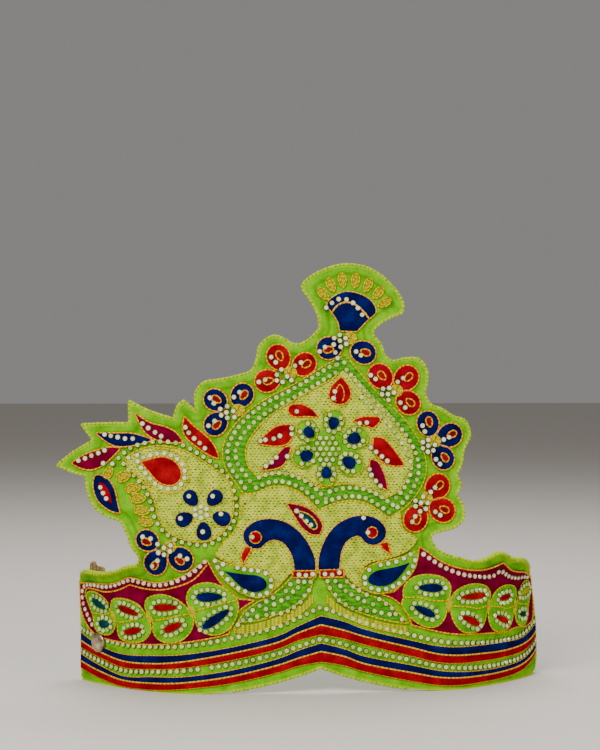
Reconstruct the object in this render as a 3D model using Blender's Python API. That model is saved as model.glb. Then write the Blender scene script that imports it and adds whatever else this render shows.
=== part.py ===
"""Mukut crown: a velvet crown front cut to a peacock pattern, that stands on its own hem.

Every piece is cut flat, in millimetres along the band and up from the table, and is then
laid on the bent form of the crown. The front faces -Y and the table is Z = 0.
"""
import math

import bmesh
import bpy
from mathutils import Vector

MM = 0.001

# Thickness of the board covered with velvet, and of each patch sewn on it.
BASE_THICK = 2.0
PATCH_THICK = 0.6
# Clear space left between pieces that touch on the real crown.
GAP = 0.35
# Height of each layer's underside above the face of the base.
FIRST_LAYER = GAP
SECOND_LAYER = FIRST_LAYER + PATCH_THICK + GAP

# How far the band turns back, in degrees, at a distance along it from the middle.
BAND_TURN = ((0, 0), (50, 4), (58, 10), (66, 28), (74, 36), (92, 42), (106, 50), (116, 57), (124, 61),
             (130, 61))
# The tall upper part stays nearly flat.
CREST_TURN = ((0, 0), (50, 4), (80, 9), (120, 13), (130, 13))
# Heights between which the form changes from the band's bend to the crest's.
BEND_LOW = 45.0
BEND_HIGH = 65.0
# The crown leans back a little as it stands, as a part of its height.
LEAN = 0.05
# Where the middle of the hem's arch stands, so that the whole crown is centred on the origin.
STAND_X = 4.72
STAND_Y = -24.895

# Folds of the form, so that every piece bends on the same lines.
FLAT_REACH = 50
FLAT_PARTS = 8
CURVED_STEP = 5
FORM_REACH = 125
RISE_FOLDS = (45, 47.5, 50, 52.5, 55, 57.5, 60, 62.5, 65)

# Half width and height of a row of glued stones, and how much of the width stays at its top.
ROW_HALF_WIDTH = 1.05
ROW_HEIGHT = 1.0
ROW_TOP_SHARE = 0.5

# The hem stands on the table outside this distance, and rises to a pointed arch inside it.
HEM_REST = 57.0
ARCH_HEIGHT = 11.2
ARCH_POWER = 1.85
ARCH_STEPS = 24

# A third value of 1 marks a corner; the outline runs smoothly through the other places.
LEFT_END = ((-123.8, 0), (-124.6, 14), (-125.4, 30))
LEFT_SHOULDER = ((-126.3, 44.5, 1), (-122.5, 48.3), (-117, 50), (-108, 49.6), (-98.6, 50.8), (-92, 52.8),
                 (-87, 54.4), (-82.8, 55, 1))
LEFT_NECK = ((-80.4, 59), (-83.4, 64.6), (-85.4, 70.2), (-88.5, 75.6), (-94.7, 78), (-100, 82),
             (-103, 88.6), (-104, 95.6, 1))
PAISLEY_TIPS = ((-110.5, 97.3), (-117.1, 100, 1), (-110, 105.6), (-100.7, 111.2, 1), (-106, 118.2, 1),
                (-95, 118.6), (-84.3, 118.8, 1), (-84.6, 128.7, 1), (-76, 124.4), (-64.6, 120.7, 1),
                (-62.8, 126.5), (-60.3, 128.7, 1), (-54.6, 123.9, 1))
LEFT_FLOWERS = ((-55, 131.8), (-51.2, 136.8), (-44.4, 138), (-36.1, 139.8), (-30.2, 142), (-28, 146.5),
                (-26.2, 153.5), (-19.6, 157.5), (-10.9, 153.6), (-5, 155.6), (0.3, 160.8, 1))
CREST_FAN = ((-0.6, 167), (-4.1, 173.8), (-7.4, 178.6), (-6.3, 181.6), (0.4, 186.2), (10.6, 189.3),
             (20.3, 188.4), (27.7, 184.7), (34.6, 178), (37.8, 172.3), (37.5, 168, 1), (30.5, 165),
             (25.3, 161.3), (24.3, 158.1))
RIGHT_FLOWERS = ((27.6, 153.7), (29.4, 148.8), (33, 146.3), (38.8, 147.5), (45.2, 147), (48.4, 142),
                 (48.5, 136.8), (47.2, 132.4, 1), (50, 127), (54.5, 125.2), (60.5, 121.6), (65.8, 119.6),
                 (68.2, 113.3), (65.2, 106.5), (64.3, 100.8), (61.9, 95.5, 1), (63.6, 91.2),
                 (61.6, 86.4, 1), (64.5, 81.6), (64.6, 75.9), (60.6, 72.2), (54.1, 70.5), (50.2, 69))
RIGHT_SHOULDER = ((49.8, 66.6), (52.3, 62.6), (57, 60), (62.6, 58.4), (71.1, 56.3), (77.5, 57.2),
                  (81.6, 59.4), (85, 59.2), (88.6, 57.6), (93.5, 55.7), (100, 55), (109.9, 50.1),
                  (118.2, 45.4, 1))
RIGHT_END = ((119.2, 40), (121.6, 31), (124.2, 22), (125.6, 11), (124, 4), (119, 0, 1))

# Heights of the band's stripes and of its two rows of stones, in millimetres along the band.
STRIPE_COLUMNS = ("s", "red_low", "seam_low", "blue_low", "stones_low",
                  "red_up", "seam_up", "blue_up", "stones_up")
STRIPE_ROWS = (
    (-124, 5.6, 8.9, 11.8, 13.4, 14.9, 18.1, 21.5, 23.3),
    (-108, 2.9, 6.1, 8.5, 10.4, 12.2, 14.9, 17.4, 21.0),
    (-92, 0.8, 3.6, 5.4, 8.5, 9.3, 12.1, 15.0, 19.3),
    (-75, 1.0, 3.9, 6.6, 9.5, 10.1, 12.5, 15.9, 19.9),
    (-60, 2.4, 5.1, 7.6, 11.0, 11.6, 14.3, 17.3, 21.0),
    (-40, 4.8, 7.8, 10.4, 13.4, 14.8, 17.8, 20.4, 24.3),
    (-20, 9.2, 12.4, 15.1, 17.4, 19.5, 22.3, 25.1, 29.1),
    (-10, 12.2, 15.6, 18.9, 20.4, 23.4, 26.7, 29.6, 33.3),
    (0, 13.9, 18.4, 22.0, 23.9, 25.8, 30.1, 33.9, 37.8),
    (10, 12.2, 16.2, 19.4, 21.2, 23.9, 27.6, 31.4, 34.2),
    (20, 9.2, 12.6, 15.8, 18.5, 21.0, 24.5, 27.6, 30.5),
    (40, 4.8, 8.5, 11.7, 13.9, 15.8, 19.5, 22.6, 25.1),
    (55, 2.4, 5.8, 8.6, 10.3, 12.3, 15.9, 19.4, 21.6),
    (75, 2.3, 5.2, 7.3, 8.3, 11.7, 15.0, 18.6, 19.8),
    (90, 2.6, 5.4, 7.4, 8.6, 11.7, 14.7, 18.4, 19.2),
    (105, 3.9, 6.6, 8.5, 9.6, 12.4, 15.6, 18.6, 20.0),
    (116, 6.8, 9.2, 11.2, 12.6, 14.6, 17.7, 21.2, 23.2),
    (122.5, 9.4, 11.8, 13.8, 15.2, 17.0, 20.2, 23.6, 25.6),
)

# The two large brocade grounds and the maroon panels at the sides.
PAISLEY_GROUND = ((-86, 103.5, 1), (-80, 107), (-73, 108.8), (-66, 108.4), (-59, 106.5), (-53, 103),
                  (-47, 99), (-42, 95.5), (-39.5, 91), (-38.5, 86), (-38.3, 80), (-40, 75), (-43.5, 70.5),
                  (-48, 67.5), (-54, 66.6), (-60, 67.7), (-65.5, 70), (-69, 73.5), (-71.5, 78), (-72.5, 83),
                  (-74.5, 87.5), (-77.5, 92), (-81, 96), (-84.5, 99))
PEACOCK_GROUND = ((-35.2, 87, 1), (-33.6, 87.4, 1), (-28.5, 87.8), (-22, 90.4), (-15.7, 90.4), (-8.4, 87.1),
                  (-0.6, 80, 1), (6.2, 82.9), (13, 84.2), (19.7, 83.2), (25.6, 79.8), (30.4, 76.4, 1),
                  (35.2, 79), (35.8, 75.5), (37.2, 71.2), (40.5, 69.3), (43.2, 67.3, 1), (40.2, 63.3),
                  (34.5, 60.3), (28, 58.5), (22, 57.3), (18.4, 54), (17.5, 50), (18.3, 47), (20.8, 44.6, 1),
                  (16.5, 46.8), (13.2, 49.8), (10.3, 53, 1), (-13.6, 53, 1), (-16.3, 50), (-19, 47.2),
                  (-22.8, 44.4, 1), (-23.4, 50), (-26.5, 54), (-31, 55.9), (-37, 57), (-42, 58.2),
                  (-46.2, 61, 1), (-42.5, 66.5), (-38, 71), (-35.8, 76), (-35.3, 82))
LEFT_PANEL = ((-124.4, 44, 1), (-118, 44.8), (-110, 45.3), (-102, 45.7), (-96, 47.1), (-91, 49.3),
              (-87.5, 50.2), (-83, 49.5), (-75, 48.2), (-67, 49.2), (-60, 52), (-54, 56), (-50, 58.8, 1),
              (-46, 51.5), (-42, 46.5), (-36, 41.7, 1), (-29, 41, 1), (-35, 37.3), (-38, 33),
              (-40.5, 26.4, 1), (-48, 24.6), (-60, 22.6), (-75, 20.8), (-90, 20.3), (-104, 21),
              (-112, 22.6), (-118, 25.8), (-122.3, 30), (-124.4, 35))
RIGHT_PANEL = ((44.2, 63.8, 1), (47.5, 61.8), (52, 58.5), (57, 55.8), (62, 54.2), (68, 53), (75, 52.6),
               (80, 53.3), (84, 54.6), (86, 55.6, 1), (89, 54), (94, 51.5), (100, 50.2), (106, 49.5),
               (112, 47.6), (116.4, 45, 1), (118, 38), (118.5, 30), (117, 25.3, 1), (110, 23.6), (100, 24),
               (90, 22.8), (84, 23.3), (75, 23.8), (68, 24.2), (62, 24.6), (55, 25.6), (48, 27.3),
               (40.7, 29.3, 1), (38.3, 35), (35.2, 38.8), (31, 41.7), (25, 43.6, 1), (32, 44), (36, 47),
               (39.5, 50.5), (42, 54.5), (43.5, 59))

# The green border of the middle medallion: its outer and inner edges, place for place, and the
# space from it to the brocade inside, a little more than the gap because of the corners.
MEDALLION_GROUND_INSET = 0.45
MEDALLION_OUTER = ((11.5, 148.5, 1), (4, 144.8), (-5, 139.3), (-14, 134.2), (-24, 129), (-33, 122.5),
                   (-39.5, 115), (-42.6, 107.5), (-41.5, 99.5), (-37.5, 93.5), (-33.8, 88.2, 1),
                   (-28.5, 88.6), (-22, 91.2), (-15.5, 91.2), (-8, 88), (-0.5, 81, 1), (6, 83.7), (13, 85),
                   (20, 84), (26, 80.6), (30.5, 77.3, 1), (37.5, 81.5), (43.5, 88), (47, 95.5), (47, 103),
                   (44.3, 110.5), (39.5, 118), (34.5, 123.5), (28, 129.5), (21, 137), (15, 144.2))
MEDALLION_INNER = ((10.6, 141, 1), (4, 137.6), (-3.5, 133.5), (-11.5, 129), (-19.5, 124), (-26, 118.5),
                   (-31, 112), (-33, 106), (-32, 100.5), (-30, 97.4), (-27.5, 95.2, 1), (-24, 95.8),
                   (-19.5, 96.8), (-14, 96.4), (-7, 94), (0, 90, 1), (5.5, 91.2), (12, 92), (18.5, 90.6),
                   (24, 87.8), (28.5, 85.3, 1), (32.5, 87.8), (36.5, 92.3), (38.8, 98), (39.2, 104),
                   (37.2, 110.5), (33, 117), (28.5, 122.5), (22.5, 128.5), (17.5, 133.8), (13, 139))
MEDALLION_LEAVES = {
    "medallion_leaf_top": ((9.5, 139, 1), (12.5, 135.5), (13.6, 131.5), (12, 128.3), (9, 127.3), (6, 128),
                           (4.3, 131), (5.5, 135)),
    "medallion_leaf_upper_left": ((-13, 126.4), (-8.5, 127), (-3.5, 124.6), (-1, 121.6, 1), (-6, 122),
                                  (-11.5, 121.9), (-13.8, 124)),
    "medallion_leaf_left": ((-27.5, 110, 1), (-23.5, 114), (-19, 117.3), (-13.2, 118, 1), (-12.6, 113.5),
                            (-14.5, 110), (-20, 108.9)),
    "medallion_leaf_lower_left": ((-26, 98.3, 1), (-21, 101.5), (-18.5, 105), (-15.5, 108), (-13, 108.2, 1),
                                  (-14.5, 104), (-16.5, 100.5), (-20.5, 98.8)),
    "medallion_leaf_upper_right": ((15, 119.8, 1), (19, 121.3), (26.5, 121.3, 1), (26.5, 119.5),
                                   (23.5, 116.6, 1), (20, 118)),
    "medallion_leaf_right": ((24, 112.3, 1), (28, 111.8), (31.5, 108.5), (34.5, 104.5), (37.5, 100.2, 1),
                             (33, 99.9), (28.5, 101.3), (25.5, 104.5), (23.8, 108)),
    "medallion_leaf_lower_right": ((22.5, 102.5, 1), (25.5, 101.5), (27.5, 98), (29, 94), (29.8, 89, 1),
                                   (26.5, 91.5), (23.5, 95), (22.2, 99)),
}
EYE_LEAF = ((-14.5, 83.3, 1), (-10, 82.7), (-5, 80.8), (-1, 77), (0.8, 73.5), (-0.6, 69.8, 1), (-4, 70),
            (-8, 73), (-11, 77.5))

# The pair of peacocks: necks and heads, wings ringed with stones, and tails.
LEFT_PEACOCK = ((-11.6, 54.2, 1), (-2.4, 54.2, 1), (-2.6, 59), (-5, 65), (-9.5, 71), (-15.5, 75.2),
                (-22.5, 76.7), (-29, 75.4), (-33.3, 71.8), (-33.8, 68), (-31.2, 64.6), (-27, 63.9),
                (-23.6, 66.6), (-20.5, 67.6), (-16.5, 66.2), (-13.4, 62.3), (-11.9, 58))
RIGHT_PEACOCK = ((-0.9, 54.4, 1), (-0.6, 60), (1.6, 66.5), (5.8, 72.6), (12, 76.6), (19, 77.9),
                 (25.2, 76.3), (28.9, 72), (28.3, 67.6), (24.2, 65), (20, 66), (17.5, 68.8), (14.5, 68.6),
                 (11, 66), (9, 61.5), (8.2, 54.4, 1))
LEFT_WING = ((-47.3, 59.3, 1), (-41, 57), (-34, 56), (-27, 54.7), (-22.3, 51.8), (-20.9, 47.8),
             (-22.3, 43.9), (-26.5, 42.4), (-31, 42.9), (-36, 45), (-41, 49), (-45.2, 54))
RIGHT_WING = ((43.8, 62.3, 1), (38.5, 60.2), (32, 58.4), (25, 57), (19.5, 54.2), (17.5, 50), (18.7, 46.2),
              (23, 43.9), (28.5, 43.7), (33.5, 45.6), (38.5, 49.8), (42.3, 55.3))
LEFT_TAIL = ((-3.3, 51.5, 1), (-12.6, 51.5, 1), (-15.4, 48.3), (-19, 45.2), (-23, 42.7), (-28, 40.2),
             (-33, 36.4), (-36.5, 31.5, 1), (-29, 32), (-21, 34.2), (-13, 37.8), (-7.5, 41.8), (-4.2, 46.5))
RIGHT_TAIL = ((2.2, 51.5, 1), (9.6, 51.5, 1), (12.3, 48.4), (15.8, 45.6), (20.5, 43.1), (27, 40.8),
              (32.5, 37.2), (37.2, 32.2), (39.2, 30, 1), (31, 31.2), (22, 33.6), (13.5, 37), (7, 41.5),
              (3.6, 46.5))

# The plume leaves round the paisley, the leaf at its side, and the drop at its heart.
PLUME_LEAVES = {
    "plume_leaf_outer": ((-110, 101, 1), (-105, 104.3), (-99, 106.5), (-93, 108), (-88.5, 107.6, 1),
                         (-92, 104), (-96, 100.5), (-101, 98.4), (-106, 99)),
    "plume_leaf_blue": ((-99, 114.3, 1), (-92, 114.2), (-84, 114.2), (-78.5, 113), (-74.2, 111.4, 1),
                        (-79, 109.9), (-85, 108.8), (-90, 108.8), (-94.5, 110.8)),
    "plume_leaf_maroon": ((-81.5, 123, 1), (-75.5, 119), (-69, 117.2), (-64, 114.8), (-60.8, 110.6, 1),
                          (-66, 110.4), (-72.7, 111.9), (-77.5, 115.5)),
    "plume_leaf_red": ((-59.8, 121.5, 1), (-56, 117.5), (-51, 113.5), (-47, 109), (-44.8, 103.5, 1),
                       (-48, 104.5), (-53.5, 108), (-58.4, 112), (-60.3, 116)),
}
SIDE_LEAF = ((-98.8, 95.8), (-94.5, 94.5), (-91.2, 90), (-89.8, 84), (-88.6, 79.3, 1), (-93, 80.5),
             (-98, 84.5), (-100.2, 90), (-100, 94))
PAISLEY_DROP = ((-78.6, 101.6, 1), (-74, 103), (-69, 103.8), (-64.5, 102), (-61.7, 98.5), (-61.8, 94.5),
                (-64.5, 92), (-68.5, 92), (-72, 94), (-75.3, 97.7))
FAN_PATCH = ((9.3, 159.8, 1), (8.3, 164), (5.7, 168), (3.6, 171.5), (6.5, 175), (12, 177.1), (18.5, 176),
             (23.5, 172.8), (25.4, 168.3), (22.3, 165.2, 1), (20, 163), (16.8, 159.6, 1))

# Leaf pairs on the side panels, from the middle outwards.
LEAF_PAIRS = {
    "leaf_pair_left_1": ((-58.5, 42.4), (-57, 46), (-52.7, 48.2), (-47, 48.1), (-41.2, 45.3), (-37, 41.3, 1),
                         (-36.6, 37.5), (-38.3, 32.2), (-41.3, 28.3), (-46, 26.4), (-50.8, 27.2),
                         (-54, 30.3), (-55.3, 36.2, 1), (-57.8, 39)),
    "leaf_pair_left_2": ((-79, 37.6), (-78, 40.5), (-74.5, 42.1), (-69.5, 42.7), (-63.8, 41.2), (-59.4, 38.2),
                         (-57.7, 35.2, 1), (-56, 32.6), (-57.4, 27.8), (-61.1, 24), (-66, 22.6),
                         (-71, 23.4), (-74.3, 26.4), (-74.7, 31.4, 1), (-77.6, 34.6)),
    "leaf_pair_left_3": ((-98.8, 36.2), (-97.6, 38.8), (-93.5, 39.6), (-87.8, 39.1), (-83, 37.4),
                         (-79.6, 34.2, 1), (-76.8, 30.2), (-76.4, 26.8), (-79.6, 22.9), (-84.5, 21.5),
                         (-90.2, 21.5), (-94, 23.3), (-95, 29.2, 1), (-97.8, 32.4)),
    "leaf_pair_left_4": ((-117.3, 39), (-116, 40.5), (-111.5, 41.1), (-106, 39.8), (-101.6, 37.2),
                         (-99.6, 33.2, 1), (-97, 30.3), (-96.8, 27.4), (-99, 24.2), (-102.5, 23.2),
                         (-106.5, 23.6), (-109.8, 25.3), (-111.6, 31.2, 1), (-115, 35.2)),
    "leaf_pair_right_1": ((37, 44.4), (38.2, 47.6), (42.2, 50.4), (48, 51.2), (54, 50), (57.2, 47.4),
                          (57.8, 44), (56.2, 39.8, 1), (55.9, 35), (54.4, 31.3), (51.3, 28.8), (47, 28.8),
                          (42.2, 31.2), (38.6, 34.8), (36.3, 38.4), (37.2, 41.6, 1)),
    "leaf_pair_right_2": ((58.9, 41), (61.8, 44.2), (67, 46), (73, 46), (78.6, 44), (80.4, 40.6),
                          (78.6, 36.6, 1), (77.4, 32.5), (75.9, 28.8), (72.5, 25.9), (68, 25.2), (63.6, 26.2),
                          (60.4, 29.6), (58.7, 34)),
    "leaf_pair_right_3": ((81.4, 37.8), (84.4, 41.4), (89.6, 43.5), (95.4, 43.6), (99.4, 42), (100.2, 38.8),
                          (97.8, 34.6, 1), (97.2, 30), (95.4, 26.4), (91.6, 24.2), (87.4, 23.8), (83, 25),
                          (80.2, 28.4), (79.4, 33)),
    "leaf_pair_right_4": ((102, 37), (104, 41.2), (108, 44), (112, 44.2), (113.6, 41),
                          (113.2, 37), (111.2, 33, 1), (110.6, 29), (108.6, 25.6), (104.8, 24.6),
                          (101.4, 26.2), (99.8, 29.6), (100.6, 33)),
}

# Border flowers: the middle, then each petal's middle and radius.
FLOWER_HUB = 3.2
FLOWER_SIDES = 36
RED_FLOWERS = ("border_flower_3", "border_flower_5", "border_flower_7")
BORDER_FLOWERS = {
    "border_flower_1": ((-68.3, 63.8), (-76.6, 67.4, 4.6), (-73.2, 57, 5.3), (-61.3, 58.9, 5.2)),
    "border_flower_2": ((-39, 124.9), (-46.5, 129.2, 4.8), (-46.3, 118.2, 5), (-34.2, 131.4, 5)),
    "border_flower_3": ((-14.5, 139.6), (-18.4, 148.3, 5.2), (-6.5, 145, 5), (-23.6, 137.4, 5)),
    "border_flower_4": ((11, 153.3), (4, 152, 5.1), (20, 150, 5.2)),
    "border_flower_5": ((33, 133), (27, 139.8, 5.3), (39.2, 139, 5.4), (40, 127.6, 5.2)),
    "border_flower_6": ((50.5, 109.6), (48.6, 118.8, 5.1), (59, 113.3, 5.3), (55.6, 102.9, 5.1)),
    "border_flower_7": ((46.8, 83.6), (53, 90.6, 5.4), (55.2, 79.8, 5.4), (42.6, 75.9, 5.4)),
}
CENTRE_FLOWER = ((2.7, 107.5), (6.2, 119.9, 5.2), (-5.7, 115.5, 5.2), (16, 112.4, 5.7), (-7.1, 104.1, 5.5),
                 (13.7, 100.9, 5.9), (2.7, 95.9, 5))
CENTRE_HUB = 8.0
PAISLEY_FLOWER = ((-52.3, 79.8), (-57, 86, 3.7), (-46.5, 86, 3.8), (-43.4, 77, 3.9), (-51.3, 71.2, 3.9),
                  (-60, 76.6, 3.8))
PAISLEY_HUB = 2.2

# Rows of stones that run along an edge, where the upper row of the band ends on each side,
# and how far the other rows lie from the edges that they follow.
LEFT_PANEL_ROW = ((-112.8, 26.4), (-116.4, 30), (-120.2, 34.6), (-121.5, 39.6), (-119.3, 43.2), (-113, 44.4),
                  (-104, 44.2), (-97, 45.6), (-92, 47.8), (-87.5, 49.2), (-82, 48.3), (-75, 47.2),
                  (-68, 47.9), (-62, 50), (-56, 53.5), (-51, 58))
RIGHT_PANEL_ROW = ((46, 60.5), (51.5, 56.8), (57.5, 53.5), (64, 51.2), (70, 50.2), (76, 49.5), (81, 49.6),
                   (84, 50.3), (86, 52), (90, 50.3), (95, 48.2), (101, 47), (106, 47), (111, 46.4))
PAISLEY_ROW = ((-89, 103.5, 1), (-82.5, 108.5), (-72.5, 110.7), (-62, 109.7), (-52.5, 104.7), (-45, 99.3),
               (-40.5, 94.5), (-37.6, 87), (-37, 80), (-39.5, 73.3), (-44, 68.4), (-50, 65.3), (-57, 65.8),
               (-63.5, 67.4), (-69, 71.2), (-72.9, 77), (-75.3, 85.5), (-78.5, 91.5), (-82.7, 96.3))
UPPER_ROW_LEFT = -101.5
UPPER_ROW_RIGHT = 118
MEDALLION_OUTER_ROW_INSET = 1.2
MEDALLION_INNER_ROW_OUTSET = 1.0
DROP_ROW_OUTSET = 1.8

# The snap stud on the left end and the folded woven tab behind it.
STUD_PLACE = (-107.9, 18.9)
STUD_RADIUS = 4.4
STUD_SIDES = 20
# The stud's rings, from its foot to its top.
STUD_COLUMNS = ("radius_share", "height")
STUD_RINGS = ((1.0, 0.0), (1.0, 0.7), (0.8, 1.2), (0.45, 1.8))
TAB_THICK = 1.2
# The tab from its sewn foot to its folded top, and its pleat from the left edge to the right.
TAB_COLUMNS = ("height", "left", "right")
TAB_ROWS = ((14, -121.5, -108), (30, -121.5, -108), (44, -122, -108.3), (50, -121.8, -108.3),
            (54.3, -120.8, -112))
TAB_PLEAT = (0.0, 0.42, 1.4, 0.42, 0.0)
# The tab hangs straight, in the plane that the form has at this height.
TAB_PLANE = 44.0

# Colours, as red, green and blue in linear light.
LIME_VELVET = (0.33, 0.55, 0.02)
GREEN_SATIN = (0.12, 0.50, 0.05)
NAVY_VELVET = (0.01, 0.03, 0.17)
RED_VELVET = (0.45, 0.01, 0.01)
MAROON_VELVET = (0.25, 0.01, 0.04)
PALE_BROCADE = (0.52, 0.52, 0.16)
WHITE_STONE = (0.80, 0.80, 0.76)
BEIGE_METAL = (0.45, 0.36, 0.24)
BROWN_WEBBING = (0.16, 0.06, 0.02)


def clear_scene():
    for item in list(bpy.data.objects):
        bpy.data.objects.remove(item, do_unlink=True)


def plan_of(distance, turns):
    """Where a point at a distance along the form lies, across and behind."""
    across = 0.0
    behind = 0.0
    reach = abs(distance)
    for (start, turn_in), (end, turn_out) in zip(turns, turns[1:]):
        length = min(reach, end) - start
        if length <= 0:
            break
        steps = max(1, int(math.ceil(length)))
        for step in range(steps):
            part = (step + 0.5) * length / steps
            turn = math.radians(turn_in + (turn_out - turn_in) * part / (end - start))
            across += math.cos(turn) * length / steps
            behind += math.sin(turn) * length / steps
    return math.copysign(across, distance), behind


def face_point(s, z):
    """The point of the bent base face for a place of the flat pattern."""
    part = min(1.0, max(0.0, (z - BEND_LOW) / (BEND_HIGH - BEND_LOW)))
    blend = part * part * (3 - 2 * part)
    band_x, band_y = plan_of(s, BAND_TURN)
    crest_x, crest_y = plan_of(s, CREST_TURN)
    across = band_x + (crest_x - band_x) * blend
    behind = band_y + (crest_y - band_y) * blend
    return Vector((across, behind, z))


def bent(s, z, lift):
    """Lays a place of the flat pattern on the form, lifted off its face, and leans it back."""
    reach = 0.5
    along = face_point(s + reach, z) - face_point(s - reach, z)
    up = face_point(s, z + reach) - face_point(s, z - reach)
    outward = along.cross(up).normalized()
    return (face_point(s, z) + outward * lift + Vector((STAND_X, STAND_Y + LEAN * z, 0))) * MM


def smooth_path(knots, closed=True, steps=2):
    """A smooth line through the knots, which turns sharply at the marked corners."""
    count = len(knots)
    line = []
    spans = count if closed else count - 1
    for index in range(spans):
        here = knots[index]
        there = knots[(index + 1) % count]
        before = knots[index - 1] if (closed or index > 0) else here
        after = knots[(index + 2) % count] if (closed or index + 2 < count) else there
        if len(here) > 2:
            before = here
        if len(there) > 2:
            after = there
        for step in range(steps):
            t = step / steps
            place = []
            for axis in (0, 1):
                p0, p1, p2, p3 = before[axis], here[axis], there[axis], after[axis]
                place.append(0.5 * (2 * p1 + (p2 - p0) * t + (2 * p0 - 5 * p1 + 4 * p2 - p3) * t * t
                                    + (3 * p1 - 3 * p2 + p3 - p0) * t * t * t))
            line.append(tuple(place))
    if not closed:
        line.append(tuple(knots[-1][:2]))
    return line


def signed_area(line):
    total = 0.0
    for (a, b), (c, d) in zip(line, line[1:] + line[:1]):
        total += a * d - b * c
    return total / 2


def moved_in(line, distance):
    """A closed line moved inwards by a distance; outwards where it is negative."""
    side = 1.0 if signed_area(line) > 0 else -1.0
    result = []
    for index, here in enumerate(line):
        before = line[index - 1]
        after = line[(index + 1) % len(line)]
        along = Vector((after[0] - before[0], after[1] - before[1])).normalized()
        result.append((here[0] - side * along.y * distance, here[1] + side * along.x * distance))
    return result


def fold_lines():
    folds = [FLAT_REACH * (2 * part / FLAT_PARTS - 1) for part in range(FLAT_PARTS + 1)]
    for place in range(FLAT_REACH + CURVED_STEP, FORM_REACH + 1, CURVED_STEP):
        folds.extend((place, -place))
    return folds


def fold_flat(body):
    """Cuts the flat piece on the lines where the form bends."""
    for place in fold_lines():
        parts = body.verts[:] + body.edges[:] + body.faces[:]
        bmesh.ops.bisect_plane(body, geom=parts, dist=1e-5, plane_co=(place, 0, 0), plane_no=(1, 0, 0))
    for height in RISE_FOLDS:
        faces = [face for face in body.faces if abs(face.calc_center_bounds().x) > FLAT_REACH]
        parts = set(faces)
        for face in faces:
            parts.update(face.verts)
            parts.update(face.edges)
        bmesh.ops.bisect_plane(body, geom=list(parts), dist=1e-5, plane_co=(0, height, 0), plane_no=(0, 1, 0))


def new_object(name, body, material, smooth=False):
    mesh = bpy.data.meshes.new(name)
    bmesh.ops.recalc_face_normals(body, faces=body.faces[:])
    body.to_mesh(mesh)
    body.free()
    item = bpy.data.objects.new(name, mesh)
    CROWN.objects.link(item)
    mesh.materials.append(material)
    for face in mesh.polygons:
        face.use_smooth = smooth
    return item


def thicken(body, underside, thick):
    """Gives the flat piece its thickness, and bends it to the form."""
    grown = bmesh.ops.extrude_face_region(body, geom=body.faces[:])
    upper = [part for part in grown["geom"] if isinstance(part, bmesh.types.BMVert)]
    for vert in body.verts:
        vert.co.z = underside
    for vert in upper:
        vert.co.z = underside + thick
    for vert in body.verts:
        vert.co = bent(*vert.co)


def patch(name, line, material, underside, thick=PATCH_THICK):
    """A piece of cloth cut to a closed line."""
    body = bmesh.new()
    body.faces.new([body.verts.new((s, z, 0)) for s, z in line])
    fold_flat(body)
    thicken(body, underside, thick)
    return new_object(name, body, material)


def strip(name, edge, other_edge, material, underside, thick=PATCH_THICK, closed=False):
    """A piece of cloth between two edges that keep step with each other."""
    body = bmesh.new()
    first = [body.verts.new((s, z, 0)) for s, z in edge]
    second = [body.verts.new((s, z, 0)) for s, z in other_edge]
    spans = len(first) if closed else len(first) - 1
    for index in range(spans):
        after = (index + 1) % len(first)
        body.faces.new((first[index], first[after], second[after], second[index]))
    fold_flat(body)
    thicken(body, underside, thick)
    return new_object(name, body, material)


def flower_line(middle, petals, hub):
    """The outline of round petals about a hub, as the furthest reach in each direction."""
    line = []
    for index in range(FLOWER_SIDES):
        turn = 2 * math.pi * index / FLOWER_SIDES
        reach = hub
        for s, z, radius in petals:
            away = math.hypot(s - middle[0], z - middle[1])
            apart = turn - math.atan2(z - middle[1], s - middle[0])
            inside = radius ** 2 - (away * math.sin(apart)) ** 2
            if inside >= 0 and math.cos(apart) > 0:
                reach = max(reach, away * math.cos(apart) + math.sqrt(inside))
        line.append((middle[0] + reach * math.cos(turn), middle[1] + reach * math.sin(turn)))
    return line


def stone_row(name, line, material, underside, closed=False):
    """A row of glued stones as one low rounded rib."""
    crown_half = ROW_HALF_WIDTH * ROW_TOP_SHARE
    section = ((-ROW_HALF_WIDTH, 0), (-crown_half, ROW_HEIGHT), (crown_half, ROW_HEIGHT), (ROW_HALF_WIDTH, 0))
    body = bmesh.new()
    rings = []
    count = len(line)
    for index, (s, z) in enumerate(line):
        before = line[index - 1] if (closed or index > 0) else line[index]
        after = line[(index + 1) % count] if (closed or index + 1 < count) else line[index]
        along = Vector((after[0] - before[0], after[1] - before[1])).normalized()
        ring = []
        for offset, lift in section:
            ring.append(body.verts.new(bent(s - along.y * offset, z + along.x * offset, underside + lift)))
        rings.append(ring)
    spans = count if closed else count - 1
    for index in range(spans):
        ring = rings[index]
        following = rings[(index + 1) % count]
        for side in range(len(section)):
            other = (side + 1) % len(section)
            body.faces.new((ring[side], ring[other], following[other], following[side]))
    if not closed:
        body.faces.new(rings[0])
        body.faces.new(rings[-1])
    return new_object(name, body, material, smooth=True)


def material_of(name, colour, roughness, metallic=0.0):
    material = bpy.data.materials.new(name)
    material.use_nodes = True
    shader = material.node_tree.nodes["Principled BSDF"]
    shader.inputs["Base Color"].default_value = (*colour, 1)
    shader.inputs["Roughness"].default_value = roughness
    shader.inputs["Metallic"].default_value = metallic
    material.diffuse_color = (*colour, 1)
    return material


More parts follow.
